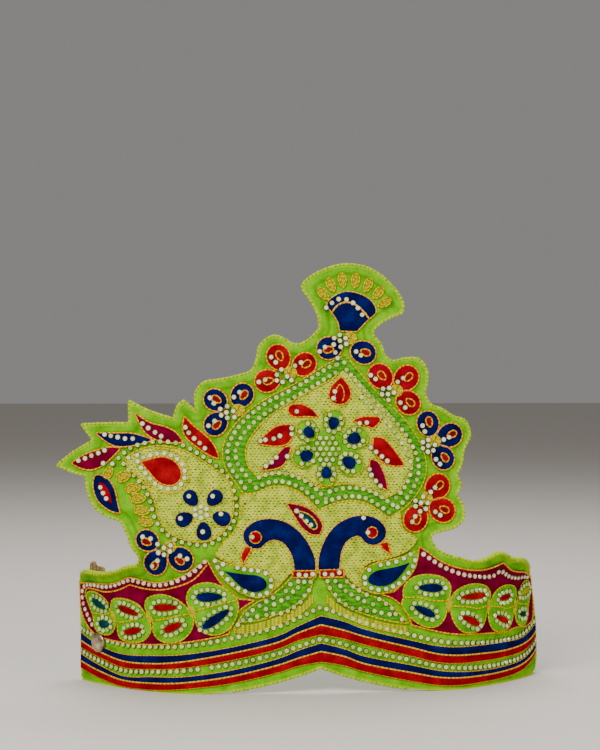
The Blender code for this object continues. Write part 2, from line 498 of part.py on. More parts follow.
def base_line():
    """The outline of the velvet base, round from the left end of the hem."""
    line = list(LEFT_END)
    line += smooth_path(LEFT_SHOULDER + LEFT_NECK + PAISLEY_TIPS, closed=False, steps=1)
    line += smooth_path(LEFT_FLOWERS + CREST_FAN + RIGHT_FLOWERS, closed=False)
    line += smooth_path(RIGHT_SHOULDER + RIGHT_END, closed=False, steps=1)
    for step in range(ARCH_STEPS + 1):
        s = HEM_REST * (1 - 2 * step / ARCH_STEPS)
        line.append((s, ARCH_HEIGHT * (1 - abs(s) / HEM_REST) ** ARCH_POWER))
    return [(s, max(z, 0.0)) for s, z in line]


def stripe_heights(column):
    """The height of one stripe edge at each fold, and halfway between the folds of the flat part."""
    index = STRIPE_COLUMNS.index(column)
    knots = [(row[0], row[index]) if row[0] else (row[0], row[index], 1) for row in STRIPE_ROWS]
    fine = smooth_path(knots, closed=False, steps=8)
    between = [FLAT_REACH * (2 * part + 1 - FLAT_PARTS) / FLAT_PARTS for part in range(FLAT_PARTS)]
    heights = []
    for place in sorted(fold_lines() + between):
        for (s0, z0), (s1, z1) in zip(fine, fine[1:]):
            if s0 <= place < s1:
                heights.append((place, z0 + (z1 - z0) * (place - s0) / (s1 - s0)))
    return [fine[0]] + heights + [fine[-1]]


def make_base(velvet):
    patch("base_panel", base_line(), velvet, -BASE_THICK, BASE_THICK)


def make_stripes(blue, red):
    seam_half = GAP / 2
    for name, low, high, cloth in (("stripe_red_lower", "red_low", "seam_low", red),
                                   ("stripe_blue_lower", "seam_low", "blue_low", blue),
                                   ("stripe_red_upper", "red_up", "seam_up", red),
                                   ("stripe_blue_upper", "seam_up", "blue_up", blue)):
        lower = [(s, z + seam_half) for s, z in stripe_heights(low)]
        upper = [(s, z - seam_half) for s, z in stripe_heights(high)]
        strip(name, lower, upper, cloth, FIRST_LAYER)


def make_grounds(brocade, maroon, green):
    patch("paisley_ground", smooth_path(PAISLEY_GROUND, steps=1), brocade, FIRST_LAYER)
    patch("peacock_ground", smooth_path(PEACOCK_GROUND, steps=1), brocade, FIRST_LAYER)
    patch("side_panel_left", smooth_path(LEFT_PANEL, steps=1), maroon, FIRST_LAYER)
    patch("side_panel_right", smooth_path(RIGHT_PANEL, steps=1), maroon, FIRST_LAYER)
    inner = smooth_path(MEDALLION_INNER, steps=1)
    strip("medallion_border", smooth_path(MEDALLION_OUTER, steps=1), inner, green, FIRST_LAYER, closed=True)
    patch("medallion_ground", moved_in(inner, MEDALLION_GROUND_INSET), brocade, FIRST_LAYER)


def make_medallion_motifs(red, maroon, green):
    for name, knots in MEDALLION_LEAVES.items():
        patch(name, smooth_path(knots), red, SECOND_LAYER)
    flower = flower_line(CENTRE_FLOWER[0], CENTRE_FLOWER[1:], CENTRE_HUB)
    patch("centre_flower", flower, green, SECOND_LAYER)
    patch("eye_leaf", smooth_path(EYE_LEAF), maroon, SECOND_LAYER)


def make_peacocks(blue, green, satin):
    patch("peacock_left", smooth_path(LEFT_PEACOCK), blue, SECOND_LAYER)
    patch("peacock_right", smooth_path(RIGHT_PEACOCK), blue, SECOND_LAYER)
    patch("wing_left", smooth_path(LEFT_WING), green, SECOND_LAYER)
    patch("wing_right", smooth_path(RIGHT_WING), green, SECOND_LAYER)
    patch("tail_left", smooth_path(LEFT_TAIL), satin, FIRST_LAYER)
    patch("tail_right", smooth_path(RIGHT_TAIL), satin, FIRST_LAYER)


def make_paisley(blue, red, maroon):
    cloths = (maroon, blue, maroon, red)
    for (name, knots), cloth in zip(PLUME_LEAVES.items(), cloths):
        patch(name, smooth_path(knots), cloth, FIRST_LAYER)
    patch("side_leaf", smooth_path(SIDE_LEAF), blue, FIRST_LAYER)
    patch("paisley_drop", smooth_path(PAISLEY_DROP), red, SECOND_LAYER)
    flower = flower_line(PAISLEY_FLOWER[0], PAISLEY_FLOWER[1:], PAISLEY_HUB)
    patch("paisley_flower", flower, blue, SECOND_LAYER)


def make_flowers(blue, red):
    for name, places in BORDER_FLOWERS.items():
        cloth = red if name in RED_FLOWERS else blue
        patch(name, flower_line(places[0], places[1:], FLOWER_HUB), cloth, FIRST_LAYER)
    patch("fan_patch", smooth_path(FAN_PATCH), blue, FIRST_LAYER)


def make_leaf_pairs(green):
    for name, knots in LEAF_PAIRS.items():
        patch(name, smooth_path(knots), green, SECOND_LAYER)


def make_stone_rows(stone):
    low = stripe_heights("stones_low")[1:-1]
    high = [place for place in stripe_heights("stones_up") if UPPER_ROW_LEFT <= place[0] <= UPPER_ROW_RIGHT]
    stone_row("stones_band_lower", low, stone, SECOND_LAYER)
    stone_row("stones_band_upper", high, stone, SECOND_LAYER)
    stone_row("stones_panel_left", smooth_path(LEFT_PANEL_ROW, False), stone, SECOND_LAYER)
    stone_row("stones_panel_right", smooth_path(RIGHT_PANEL_ROW, False), stone, SECOND_LAYER)
    stone_row("stones_paisley", smooth_path(PAISLEY_ROW), stone, SECOND_LAYER, closed=True)
    outer = moved_in(smooth_path(MEDALLION_OUTER, steps=1), MEDALLION_OUTER_ROW_INSET)
    inner = moved_in(smooth_path(MEDALLION_INNER, steps=1), -MEDALLION_INNER_ROW_OUTSET)
    stone_row("stones_medallion_outer", outer, stone, SECOND_LAYER, closed=True)
    stone_row("stones_medallion_inner", inner, stone, SECOND_LAYER, closed=True)
    drop = moved_in(smooth_path(PAISLEY_DROP), -DROP_ROW_OUTSET)
    stone_row("stones_drop", drop, stone, SECOND_LAYER, closed=True)


def make_stud(metal):
    """A round snap cap with a raised middle, on the stripes of the left end."""
    body = bmesh.new()
    s, z = STUD_PLACE
    origin = bent(s, z, SECOND_LAYER)
    along = (bent(s + 1, z, 0) - bent(s - 1, z, 0)).normalized()
    outward = (bent(s, z, 1) - bent(s, z, 0)).normalized()
    up = outward.cross(along)
    rings = []
    for share, lift in STUD_RINGS:
        ring = []
        for side in range(STUD_SIDES):
            turn = 2 * math.pi * side / STUD_SIDES
            flat = along * math.cos(turn) + up * math.sin(turn)
            ring.append(body.verts.new(origin + (flat * share * STUD_RADIUS + outward * lift) * MM))
        rings.append(ring)
    for ring, following in zip(rings, rings[1:]):
        for side in range(STUD_SIDES):
            other = (side + 1) % STUD_SIDES
            body.faces.new((ring[side], ring[other], following[other], following[side]))
    body.faces.new(rings[0])
    body.faces.new(rings[-1])
    new_object("snap_stud", body, metal)


def make_tab(webbing):
    """A short woven tab held behind the left end, with a pleat, that shows above its edge."""
    body = bmesh.new()
    for back in (-BASE_THICK - GAP, -BASE_THICK - GAP - TAB_THICK):
        rows = []
        for height, left, right in TAB_ROWS:
            row = []
            for index, rise in enumerate(TAB_PLEAT):
                s = left + (right - left) * index / (len(TAB_PLEAT) - 1)
                foot = bent(s, TAB_PLANE, back - rise)
                climb = height - TAB_PLANE
                row.append(body.verts.new(foot + Vector((0, LEAN * climb, climb)) * MM))
            rows.append(row)
        for row, following in zip(rows, rows[1:]):
            for index in range(len(TAB_PLEAT) - 1):
                body.faces.new((row[index], row[index + 1], following[index + 1], following[index]))
    bmesh.ops.bridge_loops(body, edges=[edge for edge in body.edges if edge.is_boundary])
    new_object("tie_tab", body, webbing)


clear_scene()
CROWN = bpy.data.collections.new("mukut_crown")
bpy.context.scene.collection.children.link(CROWN)

lime = material_of("lime_velvet", LIME_VELVET, 0.85)
satin = material_of("green_satin", GREEN_SATIN, 0.45)
navy = material_of("navy_velvet", NAVY_VELVET, 0.85)
red = material_of("red_velvet", RED_VELVET, 0.85)
maroon = material_of("maroon_velvet", MAROON_VELVET, 0.85)
brocade = material_of("pale_brocade", PALE_BROCADE, 0.6)
stone = material_of("white_stone", WHITE_STONE, 0.2)
metal = material_of("beige_stud", BEIGE_METAL, 0.35, 0.8)
webbing = material_of("brown_webbing", BROWN_WEBBING, 0.8)

make_base(lime)
make_stripes(navy, red)
make_grounds(brocade, maroon, lime)
make_medallion_motifs(red, maroon, lime)
make_peacocks(navy, lime, satin)
make_paisley(navy, red, maroon)
make_flowers(navy, red)
make_leaf_pairs(lime)
make_stone_rows(stone)
make_stud(metal)
make_tab(webbing)
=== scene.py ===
import math
import random

import bmesh
import bpy
import numpy as np
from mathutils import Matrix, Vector


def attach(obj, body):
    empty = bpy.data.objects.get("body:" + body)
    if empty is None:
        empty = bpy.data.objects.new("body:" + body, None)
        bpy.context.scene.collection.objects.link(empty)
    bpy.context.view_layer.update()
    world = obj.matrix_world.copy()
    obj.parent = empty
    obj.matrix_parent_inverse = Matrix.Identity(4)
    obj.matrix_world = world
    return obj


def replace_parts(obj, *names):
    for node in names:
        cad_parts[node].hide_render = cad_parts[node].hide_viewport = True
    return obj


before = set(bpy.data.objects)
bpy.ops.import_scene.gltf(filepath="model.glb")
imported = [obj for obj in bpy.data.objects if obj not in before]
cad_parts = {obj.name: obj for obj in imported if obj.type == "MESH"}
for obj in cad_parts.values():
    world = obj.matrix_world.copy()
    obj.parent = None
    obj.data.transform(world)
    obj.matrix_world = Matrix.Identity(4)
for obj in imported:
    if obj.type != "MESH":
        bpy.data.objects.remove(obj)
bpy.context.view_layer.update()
bpy.ops.object.select_all(action="DESELECT")


# The board under the velvet.
# The real crown is cut from stiff card covered with velvet. It is bent round the brow along
# its band and stays nearly flat above. Every cloth and thread is laid on this one form.
MM = 0.001
BAND_TURN = (
    (0, 0), (50, 4), (58, 10), (66, 28), (74, 36), (92, 42), (106, 50), (116, 57), (124, 61), (130, 61))
CREST_TURN = ((0, 0), (50, 4), (80, 9), (120, 13), (130, 13))
BEND_LOW = 45.0
BEND_HIGH = 65.0
LEAN = 0.05
STAND = (4.72, -24.895)
PLAN_STEP = 0.25
# The cloth is not quite even: a slow ripple, in millimetres, that all the layers share.
RIPPLE = 0.28


def plan_of(turns):
    """The curve of the form seen from above: distance along it, across and behind."""
    reach = np.arange(0, 130 + PLAN_STEP, PLAN_STEP)
    angles = np.radians(np.interp(reach[:-1] + PLAN_STEP / 2, [t[0] for t in turns], [t[1] for t in turns]))
    across = np.concatenate([[0], np.cumsum(np.cos(angles) * PLAN_STEP)])
    behind = np.concatenate([[0], np.cumsum(np.sin(angles) * PLAN_STEP)])
    return reach, across, behind


BAND_PLAN = plan_of(BAND_TURN)
CREST_PLAN = plan_of(CREST_TURN)


def face_of(s, z):
    """Points on the bent face for places of the flat pattern, in millimetres."""
    part = np.clip((z - BEND_LOW) / (BEND_HIGH - BEND_LOW), 0, 1)
    blend = part * part * (3 - 2 * part)
    reach = np.abs(s)
    band_x, band_y = (np.interp(reach, BAND_PLAN[0], plan) for plan in BAND_PLAN[1:])
    crest_x, crest_y = (np.interp(reach, CREST_PLAN[0], plan) for plan in CREST_PLAN[1:])
    across = np.sign(s) * (band_x + (crest_x - band_x) * blend)
    return np.stack([across, band_y + (crest_y - band_y) * blend, z], axis=1)


def laid_on_form(places):
    """Takes rows of s, z and lift in millimetres to points of the standing crown in metres."""
    places = np.asarray(places, dtype=float)
    s, z, lift = places[:, 0], places[:, 1], places[:, 2]
    ripple = np.sin(s / 13 + 0.6) * np.cos(z / 17 + 0.3) + 0.5 * np.sin(s / 7.1 - z / 9.3)
    along = face_of(s + 0.5, z) - face_of(s - 0.5, z)
    up = face_of(s, z + 0.5) - face_of(s, z - 0.5)
    outward = np.cross(along, up)
    outward /= np.linalg.norm(outward, axis=1)[:, None]
    settle = np.clip(z / 25, 0, 1)
    points = face_of(s, z) + outward * (lift + RIPPLE * ripple * settle)[:, None]
    points[:, 0] += STAND[0]
    points[:, 1] += STAND[1] + LEAN * z
    return points * MM


def smooth_line(knots, closed=True, step=1.0):
    """A smooth line through the knots, at about even steps; a third value of 1 marks a corner."""
    count = len(knots)
    line = []
    for index in range(count if closed else count - 1):
        here, there = knots[index], knots[(index + 1) % count]
        before = knots[index - 1] if (closed or index > 0) and len(here) < 3 else here
        after = knots[(index + 2) % count] if (closed or index + 2 < count) and len(there) < 3 else there
        p0, p1, p2, p3 = (np.array(knot[:2], dtype=float) for knot in (before, here, there, after))
        parts = max(1, int(round(np.linalg.norm(p2 - p1) / step)))
        for part in range(parts):
            t = part / parts
            line.append(0.5 * (2 * p1 + (p2 - p0) * t + (2 * p0 - 5 * p1 + 4 * p2 - p3) * t * t
                               + (3 * p1 - 3 * p2 + p3 - p0) * t ** 3))
    if not closed:
        line.append(np.array(knots[-1][:2], dtype=float))
    return np.array(line)


def signed_area(line):
    """The area inside a closed line, negative where it runs clockwise."""
    s, z = line[:, 0], line[:, 1]
    return float(np.sum(s * np.roll(z, -1) - z * np.roll(s, -1)) / 2)


def distance_to(points, lines):
    """How far each flat place lies from the nearest of the closed lines."""
    nearest = np.full(len(points), 1e9)
    for line in lines:
        start, end = line, np.roll(line, -1, axis=0)
        span = end - start
        length = np.maximum((span ** 2).sum(axis=1), 1e-9)
        for low in range(0, len(points), 4000):
            part = points[low:low + 4000]
            share = np.clip(((part[:, None] - start) * span).sum(axis=2) / length, 0, 1)
            away = np.linalg.norm(part[:, None] - (start + share[..., None] * span), axis=2)
            nearest[low:low + 4000] = np.minimum(nearest[low:low + 4000], away.min(axis=1))
    return nearest


def mark_pattern(mesh, marks):
    """Gives a mesh its flat pattern, in millimetres, as UV map."""
    loops = np.empty(len(mesh.loops), dtype=np.int32)
    mesh.loops.foreach_get("vertex_index", loops)
    pattern = mesh.uv_layers.new(name="pattern")
    pattern.data.foreach_set("uv", np.asarray(marks, dtype=np.float32)[loops].ravel())


def link_piece(name, mesh):
    """Puts a mesh in the scene as the active object."""
    piece = bpy.data.objects.new(name, mesh)
    bpy.context.scene.collection.objects.link(piece)
    bpy.context.view_layer.objects.active = piece
    return piece


def wall_and_rim(piece, thick, offset, rim_width, rim_angle):
    """Gives a sheet its thickness and rounds its edges."""
    wall = piece.modifiers.new("wall", "SOLIDIFY")
    wall.thickness = thick
    wall.offset = offset
    rim = piece.modifiers.new("rim", "BEVEL")
    rim.width = rim_width
    rim.segments = 2
    rim.limit_method = "ANGLE"
    rim.angle_limit = math.radians(rim_angle)
    for modifier in ("wall", "rim"):
        bpy.ops.object.modifier_apply(modifier=modifier)


# The widest rounding of a cloth's edge, and how far in its padding rises, in millimetres.
RIM_WIDTH = 0.28
DOME_REACH = 1.2
# The least side of a flat sheet. A pattern that covers less of its box than the thin share is
# declared as a square that it covers by the usual share.
FLAT_LEAST = 10.0
SHARE_LEAST = 0.3
SHARE_THIN = 0.32
SHARE_USUAL = 0.8


def cut_flat(name, lines, hole, pitch):
    """Cuts closed lines out of a flat sheet, with a grid of cuts a pitch apart so that it bends."""
    flat = bmesh.new()
    everything = lines + ([] if hole is None else [hole])
    rings = [[flat.verts.new((s, z, 0)) for s, z in line] for line in everything]
    if hole is None:
        for ring in rings:
            flat.faces.new(ring)
    else:
        rims = [flat.edges.new((ring[index - 1], vert)) for ring in rings
                for index, vert in enumerate(ring)]
        bmesh.ops.bridge_loops(flat, edges=rims)
        bmesh.ops.recalc_face_normals(flat, faces=flat.faces[:])
        if flat.faces[0].normal.z < 0:
            bmesh.ops.reverse_faces(flat, faces=flat.faces[:])
    everything = np.concatenate(everything)
    for axis, normal in enumerate(((1, 0, 0), (0, 1, 0))):
        low, high = everything[:, axis].min(), everything[:, axis].max()
        for cut in np.arange(math.ceil(low / pitch) * pitch, high, pitch):
            parts = flat.verts[:] + flat.edges[:] + flat.faces[:]
            bmesh.ops.bisect_plane(flat, geom=parts, dist=1e-4, plane_co=[cut * part for part in normal],
                                   plane_no=normal)
    mesh = bpy.data.meshes.new(name)
    flat.to_mesh(mesh)
    flat.free()
    return mesh


def sew_cloth(name, lines, lift, thick, dome, material, pitch=1.5, hole=None):
    """Cuts cloth to closed lines, pads it a little, rounds its edge and lays it on the form."""
    lines = [line if signed_area(line) > 0 else line[::-1] for line in (np.asarray(l) for l in lines)]
    mesh = cut_flat(name, lines, hole, pitch)
    piece = link_piece(name, mesh)
    wall_and_rim(piece, thick, 1, min(RIM_WIDTH, thick * 0.4), 60)
    places = np.empty(len(mesh.vertices) * 3)
    mesh.vertices.foreach_get("co", places)
    places = places.reshape(-1, 3)
    rims = lines + ([] if hole is None else [hole])
    edges = distance_to(places[:, :2], rims)
    upper = places[:, 2] > thick * 0.6
    places[:, 2] += lift + np.where(upper, dome * (1 - np.exp(-edges / DOME_REACH)), 0)
    mark_pattern(mesh, places[:, :2])
    edge = mesh.attributes.new("edge_mm", "FLOAT", "POINT")
    edge.data.foreach_set("value", np.clip(edges / 10, 0, 1).astype(np.float32))
    mesh.vertices.foreach_set("co", laid_on_form(places).astype(np.float32).ravel())
    mesh.update()
    mesh.materials.append(material)
    mesh.polygons.foreach_set("use_smooth", [True] * len(mesh.polygons))
    mesh.set_sharp_from_angle(angle=math.radians(55))
    area = sum(abs(signed_area(line)) for line in lines) - (0 if hole is None else abs(signed_area(hole)))
    width, length = np.maximum(np.ptp(np.concatenate(rims), axis=0), FLAT_LEAST)
    if area < SHARE_THIN * width * length:
        width = length = max(FLAT_LEAST, math.sqrt(area / SHARE_USUAL))
    area = min(max(area, SHARE_LEAST * width * length), width * length)
    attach(piece, "root")
    return piece


def srgb(code):
    """A colour written as sRGB hex, as linear light."""
    parts = [int(code[place:place + 2], 16) / 255 for place in (1, 3, 5)]
    linear = [part / 12.92 if part <= 0.04045 else ((part + 0.055) / 1.055) ** 2.4 for part in parts]
    return (*linear, 1.0)


def set_inputs(tree, node, inputs):
    """Puts a value or a link at each named input of a node."""
    for socket, value in inputs.items():
        if isinstance(value, bpy.types.NodeSocket):
            tree.links.new(value, node.inputs[socket])
        else:
            node.inputs[socket].default_value = value


def add_node(tree, kind, inputs=None, stops=(), **settings):
    """Adds a node with its settings, its inputs and, for a colour ramp, its stops."""
    node = tree.nodes.new(kind)
    for name, value in settings.items():
        setattr(node, name, value)
    set_inputs(tree, node, inputs or {})
    while stops and len(node.color_ramp.elements) < len(stops):
        node.color_ramp.elements.new(0.5)
    for index, (place, code) in enumerate(stops):
        node.color_ramp.elements[index].position = place
        node.color_ramp.elements[index].color = srgb(code)
    return node


def new_material(name):
    """A new material, its node tree and its shader."""
    material = bpy.data.materials.new(name)
    material.use_nodes = True
    return material, material.node_tree, material.node_tree.nodes["Principled BSDF"]


def finish_material(tree, shader, colour, height, strength, distance, looks):
    """Gives a shader its colour, a bump from a height, and its other inputs."""
    bump = add_node(tree, "ShaderNodeBump", {"Height": height, "Strength": strength, "Distance": distance})
    set_inputs(tree, shader, {"Base Color": colour, "Normal": bump.outputs[0], **looks})


def velvet(name, deep, middle, pale, rim=None):
    """Cut-pile velvet: a soft matt pile that lies in streaks, darker where it parts."""
    material, tree, shader = new_material(name)
    flat = add_node(tree, "ShaderNodeTexCoord").outputs["UV"]
    # Pile tufts of about half a millimetre, drawn a little coarser than real so that they show.
    tufts = add_node(tree, "ShaderNodeTexNoise",
                     {"Vector": flat, "Scale": 1.9, "Detail": 3.0, "Roughness": 0.7}).outputs["Fac"]
    lay = add_node(tree, "ShaderNodeTexNoise", {"Vector": flat, "Scale": 0.16, "Detail": 2.0})
    blend = add_node(tree, "ShaderNodeMath", {0: tufts, 1: 0.45}, operation="MULTIPLY")
    shade = add_node(tree, "ShaderNodeMath", {0: lay.outputs["Fac"], 1: 0.55, 2: blend.outputs[0]},
                     operation="MULTIPLY_ADD")
    ramp = ((0.30, deep), (0.52, middle), (0.72, pale))
    colour = add_node(tree, "ShaderNodeValToRGB", {"Fac": shade.outputs[0]}, ramp).outputs["Color"]
    if rim:
        # A paler rim of cut pile, and 4 mm inside it a darker line, partly the turned edge's stitching,
        # partly painted shade.
        edge = add_node(tree, "ShaderNodeAttribute", attribute_name="edge_mm").outputs["Fac"]
        near = add_node(tree, "ShaderNodeMapRange", {"Value": edge, 1: 0.03, 2: 0.12, 3: 0.8, 4: 0.0})
        stitch_shade_rise = add_node(tree, "ShaderNodeMapRange", {"Value": edge, 1: 0.30, 2: 0.42, 3: 0.0, 4: 0.55})
        stitch_shade_fall = add_node(tree, "ShaderNodeMapRange", {"Value": edge, 1: 0.44, 2: 0.52, 3: 1.0, 4: 0.0})
        line = add_node(tree, "ShaderNodeMath", {0: stitch_shade_rise.outputs[0], 1: stitch_shade_fall.outputs[0]},
                        operation="MULTIPLY")
        dark = add_node(tree, "ShaderNodeMix", {0: line.outputs[0], 6: colour, 7: srgb(deep)},
                        data_type="RGBA")
        mix = add_node(tree, "ShaderNodeMix", {0: near.outputs[0], 6: dark.outputs[2], 7: srgb(rim)},
                       data_type="RGBA")
        colour = mix.outputs[2]
    finish_material(tree, shader, colour, tufts, 0.45, 0.0004,
                    {"Roughness": 0.85, "Specular IOR Level": 0.02, "Sheen Weight": 0.02,
                     "Sheen Roughness": 0.4, "Sheen Tint": srgb(pale)})
    return material


# The velvet body of the crown.
# One piece of lime velvet over the card: band, side shoulders, plume points, flower
# scallops and the fan at the top. Its cut edge shows a paler, yellower rim of pile.
BASE_THICK = 2.0
HEM_REST = 57.0
ARCH_HEIGHT = 11.2
ARCH_POWER = 1.85
LEFT_END = ((-123.8, 0, 1), (-124.6, 14), (-125.4, 30))
LEFT_SHOULDER = (
    (-126.3, 44.5, 1), (-122.5, 48.3), (-117, 50), (-108, 49.6), (-98.6, 50.8), (-92, 52.8), (-87, 54.4),
    (-82.8, 55, 1))
LEFT_NECK = (
    (-80.4, 59), (-83.4, 64.6), (-85.4, 70.2), (-88.5, 75.6), (-94.7, 78), (-100, 82), (-103, 88.6),
    (-104, 95.6, 1))
PAISLEY_TIPS = (
    (-110.5, 97.3), (-117.1, 100, 1), (-110, 105.6), (-100.7, 111.2, 1), (-106, 118.2, 1), (-95, 118.6),
    (-84.3, 118.8, 1), (-84.6, 128.7, 1), (-76, 124.4), (-64.6, 120.7, 1), (-62.8, 126.5),
    (-60.3, 128.7, 1), (-54.6, 123.9, 1))
LEFT_FLOWERS = (
    (-55, 131.8), (-51.2, 136.8), (-44.4, 138), (-36.1, 139.8), (-30.2, 142), (-28, 146.5),
    (-26.2, 153.5), (-19.6, 157.5), (-10.9, 153.6), (-5, 155.6), (0.3, 160.8, 1))
CREST_FAN = (
    (-0.6, 167), (-4.1, 173.8), (-7.4, 178.6), (-6.3, 181.6), (0.4, 186.2), (10.6, 189.3), (20.3, 188.4),
    (27.7, 184.7), (34.6, 178), (37.8, 172.3), (37.5, 168, 1), (30.5, 165), (25.3, 161.3), (24.3, 158.1))
RIGHT_FLOWERS = (
    (27.6, 153.7), (29.4, 148.8), (33, 146.3), (38.8, 147.5), (45.2, 147), (48.4, 142), (48.5, 136.8),
    (47.2, 132.4, 1), (50, 127), (54.5, 125.2), (60.5, 121.6), (65.8, 119.6), (68.2, 113.3),
    (65.2, 106.5), (64.3, 100.8), (61.9, 95.5, 1), (63.6, 91.2), (61.6, 86.4, 1), (64.5, 81.6),
    (64.6, 75.9), (60.6, 72.2), (54.1, 70.5), (50.2, 69))
RIGHT_SHOULDER = (
    (49.8, 66.6), (52.3, 62.6), (57, 60), (62.6, 58.4), (71.1, 56.3), (77.5, 57.2), (81.6, 59.4),
    (85, 59.2), (88.6, 57.6), (93.5, 55.7), (100, 55), (109.9, 50.1), (118.2, 45.4, 1))
RIGHT_END = ((119.2, 40), (121.6, 31), (124.2, 22), (125.6, 11), (124, 4), (119, 0, 1))
ARCH = tuple((s, ARCH_HEIGHT * (1 - abs(s) / HEM_REST) ** ARCH_POWER)
             for s in np.arange(HEM_REST, -HEM_REST - 1, -3))
UPPER_EDGE = (LEFT_SHOULDER + LEFT_NECK + PAISLEY_TIPS + LEFT_FLOWERS + CREST_FAN + RIGHT_FLOWERS
              + RIGHT_SHOULDER)
base_line = smooth_line(LEFT_END + UPPER_EDGE + RIGHT_END + ARCH)
base_line[:, 1] = np.maximum(base_line[:, 1], 0)
lime = velvet("lime_cotton_velvet", "#2c7000", "#68ac00", "#90c400", rim="#b0c800")
lime_patch = velvet("lime_patch_velvet", "#286c00", "#5ca800", "#88c400")
base_velvet = sew_cloth("base_velvet", [base_line], -BASE_THICK, BASE_THICK, 0.0, lime,
                        pitch=2.0)
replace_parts(base_velvet, "base_panel")


# The stripes round the band.
# Four narrow strips of velvet, red below and navy above in each of two pairs, sewn side
# by side along the whole band and peaked over the middle.
LAYER = 0.75
# Every cloth on the base lies a hair above it.
CLEAR = 0.02
STRIPES = (
    ("s", "red_low", "seam_low", "blue_low", "stones_low", "red_up", "seam_up", "blue_up", "stones_up"),
    (-124, 5.6, 8.9, 11.8, 13.4, 14.9, 18.1, 21.5, 23.3),
    (-108, 2.9, 6.1, 8.5, 10.4, 12.2, 14.9, 17.4, 21.0),
    (-92, 0.8, 3.6, 5.4, 7.9, 9.3, 12.1, 15.0, 19.3),
    (-75, 1.0, 3.9, 6.6, 8.9, 10.1, 12.5, 15.9, 19.9),
    (-60, 2.4, 5.1, 7.6, 10.3, 11.6, 14.3, 17.3, 21.0),
    (-40, 4.8, 7.8, 10.4, 13.0, 14.8, 17.8, 20.4, 24.3),
    (-20, 9.2, 12.4, 15.1, 17.4, 19.5, 22.3, 25.1, 29.1),
    (-10, 12.2, 15.6, 18.9, 20.7, 23.4, 26.7, 29.6, 33.3),
    (0, 13.9, 18.4, 22.0, 23.9, 25.8, 30.1, 33.9, 37.8),
    (10, 12.2, 16.2, 19.4, 21.5, 23.9, 27.6, 31.4, 34.2),
    (20, 9.2, 12.6, 15.8, 18.3, 21.0, 24.5, 27.6, 30.5),
    (40, 4.8, 8.5, 11.7, 13.9, 15.8, 19.5, 22.6, 25.1),
    (55, 2.4, 5.8, 8.6, 10.5, 12.3, 15.9, 19.4, 21.6),
    (75, 2.3, 5.2, 7.3, 8.9, 11.7, 15.0, 18.6, 19.8),
    (90, 2.6, 5.4, 7.4, 8.9, 11.7, 14.7, 18.4, 19.2),
    (105, 3.9, 6.6, 8.5, 9.9, 12.4, 15.6, 18.6, 20.0),
    (116, 6.8, 9.2, 11.2, 12.6, 14.6, 17.7, 21.2, 23.2),
    (122.5, 9.4, 11.8, 13.8, 15.2, 17.0, 20.2, 23.6, 25.6),
)


def stripe_line(column, step=1.5):
    """One edge of the stripes, or one row of stones, from the left end to the right."""
    place = STRIPES[0].index(column)
    return smooth_line([(row[0], row[place]) if row[0] else (0, row[place], 1) for row in STRIPES[1:]],
                       closed=False, step=step)


navy = velvet("navy_cotton_velvet", "#000220", "#010b48", "#05206c")
scarlet = velvet("scarlet_cotton_velvet", "#560008", "#8e0410", "#b80a1a")
for name, low, high, cloth, slot in (("stripe_red_lower", "red_low", "seam_low", scarlet, "red_velvet"),
                                     ("stripe_blue_lower", "seam_low", "blue_low", navy, "navy_velvet"),
                                     ("stripe_red_upper", "red_up", "seam_up", scarlet, "red_velvet"),
                                     ("stripe_blue_upper", "seam_up", "blue_up", navy, "navy_velvet")):
    ring = np.concatenate([stripe_line(low), stripe_line(high)[::-1]])
    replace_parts(sew_cloth(name + "_strip", [ring], CLEAR, LAYER, 0.3, cloth), name)


# The grounds of the pattern.
# Pale brocade with dark woven flecks lies under the paisley, the peacocks and the medallion;
# maroon velvet fills the sides of the band; green satin runs round the medallion.
PAISLEY_GROUND = (
    (-86, 103.5, 1), (-80, 107), (-73, 108.8), (-66, 108.4), (-59, 106.5), (-53, 103), (-47, 99),
    (-42, 95.5), (-39.5, 91), (-38.5, 86), (-38.3, 80), (-40, 75), (-43.5, 70.5), (-48, 67.5),
    (-54, 66.6), (-60, 67.7), (-65.5, 70), (-69, 73.5), (-71.5, 78), (-72.5, 83), (-74.5, 87.5),
    (-77.5, 92), (-81, 96), (-84.5, 99))
PEACOCK_GROUND = (
    (-35.2, 87, 1), (-33.6, 87.4, 1), (-28.5, 87.8), (-22, 90.4), (-15.7, 90.4), (-8.4, 87.1),
    (-0.6, 80, 1), (6.2, 82.9), (13, 84.2), (19.7, 83.2), (25.6, 79.8), (30.4, 76.4, 1), (35.2, 79),
    (35.8, 75.5), (37.2, 71.2), (40.5, 69.3), (43.2, 67.3, 1), (40.2, 63.3), (34.5, 60.3), (28, 58.5),
    (22, 57.3), (18.4, 54), (17.5, 50), (18.3, 47), (20.8, 44.6, 1), (16.5, 46.8), (13.2, 49.8),
    (10.3, 53, 1), (-13.6, 53, 1), (-16.3, 50), (-19, 47.2), (-22.8, 44.4, 1), (-23.4, 50), (-26.5, 54),
    (-31, 55.9), (-37, 57), (-42, 58.2), (-46.2, 61, 1), (-42.5, 66.5), (-38, 71), (-35.8, 76),
    (-35.3, 82))
LEFT_PANEL = (
    (-124.4, 44, 1), (-118, 44.8), (-110, 45.3), (-102, 45.7), (-96, 47.1), (-91, 49.3), (-87.5, 50.2),
    (-83, 49.5), (-75, 48.2), (-67, 49.2), (-60, 52), (-54, 56), (-50, 58.8, 1), (-46, 51.5), (-42, 46.5),
    (-36, 41.7, 1), (-29, 41, 1), (-35, 37.3), (-38, 33), (-40.5, 26.4, 1), (-48, 24.6), (-60, 22.6),
    (-75, 20.8), (-90, 20.3), (-104, 21), (-112, 22.6), (-118, 25.8), (-122.3, 30), (-124.4, 35))
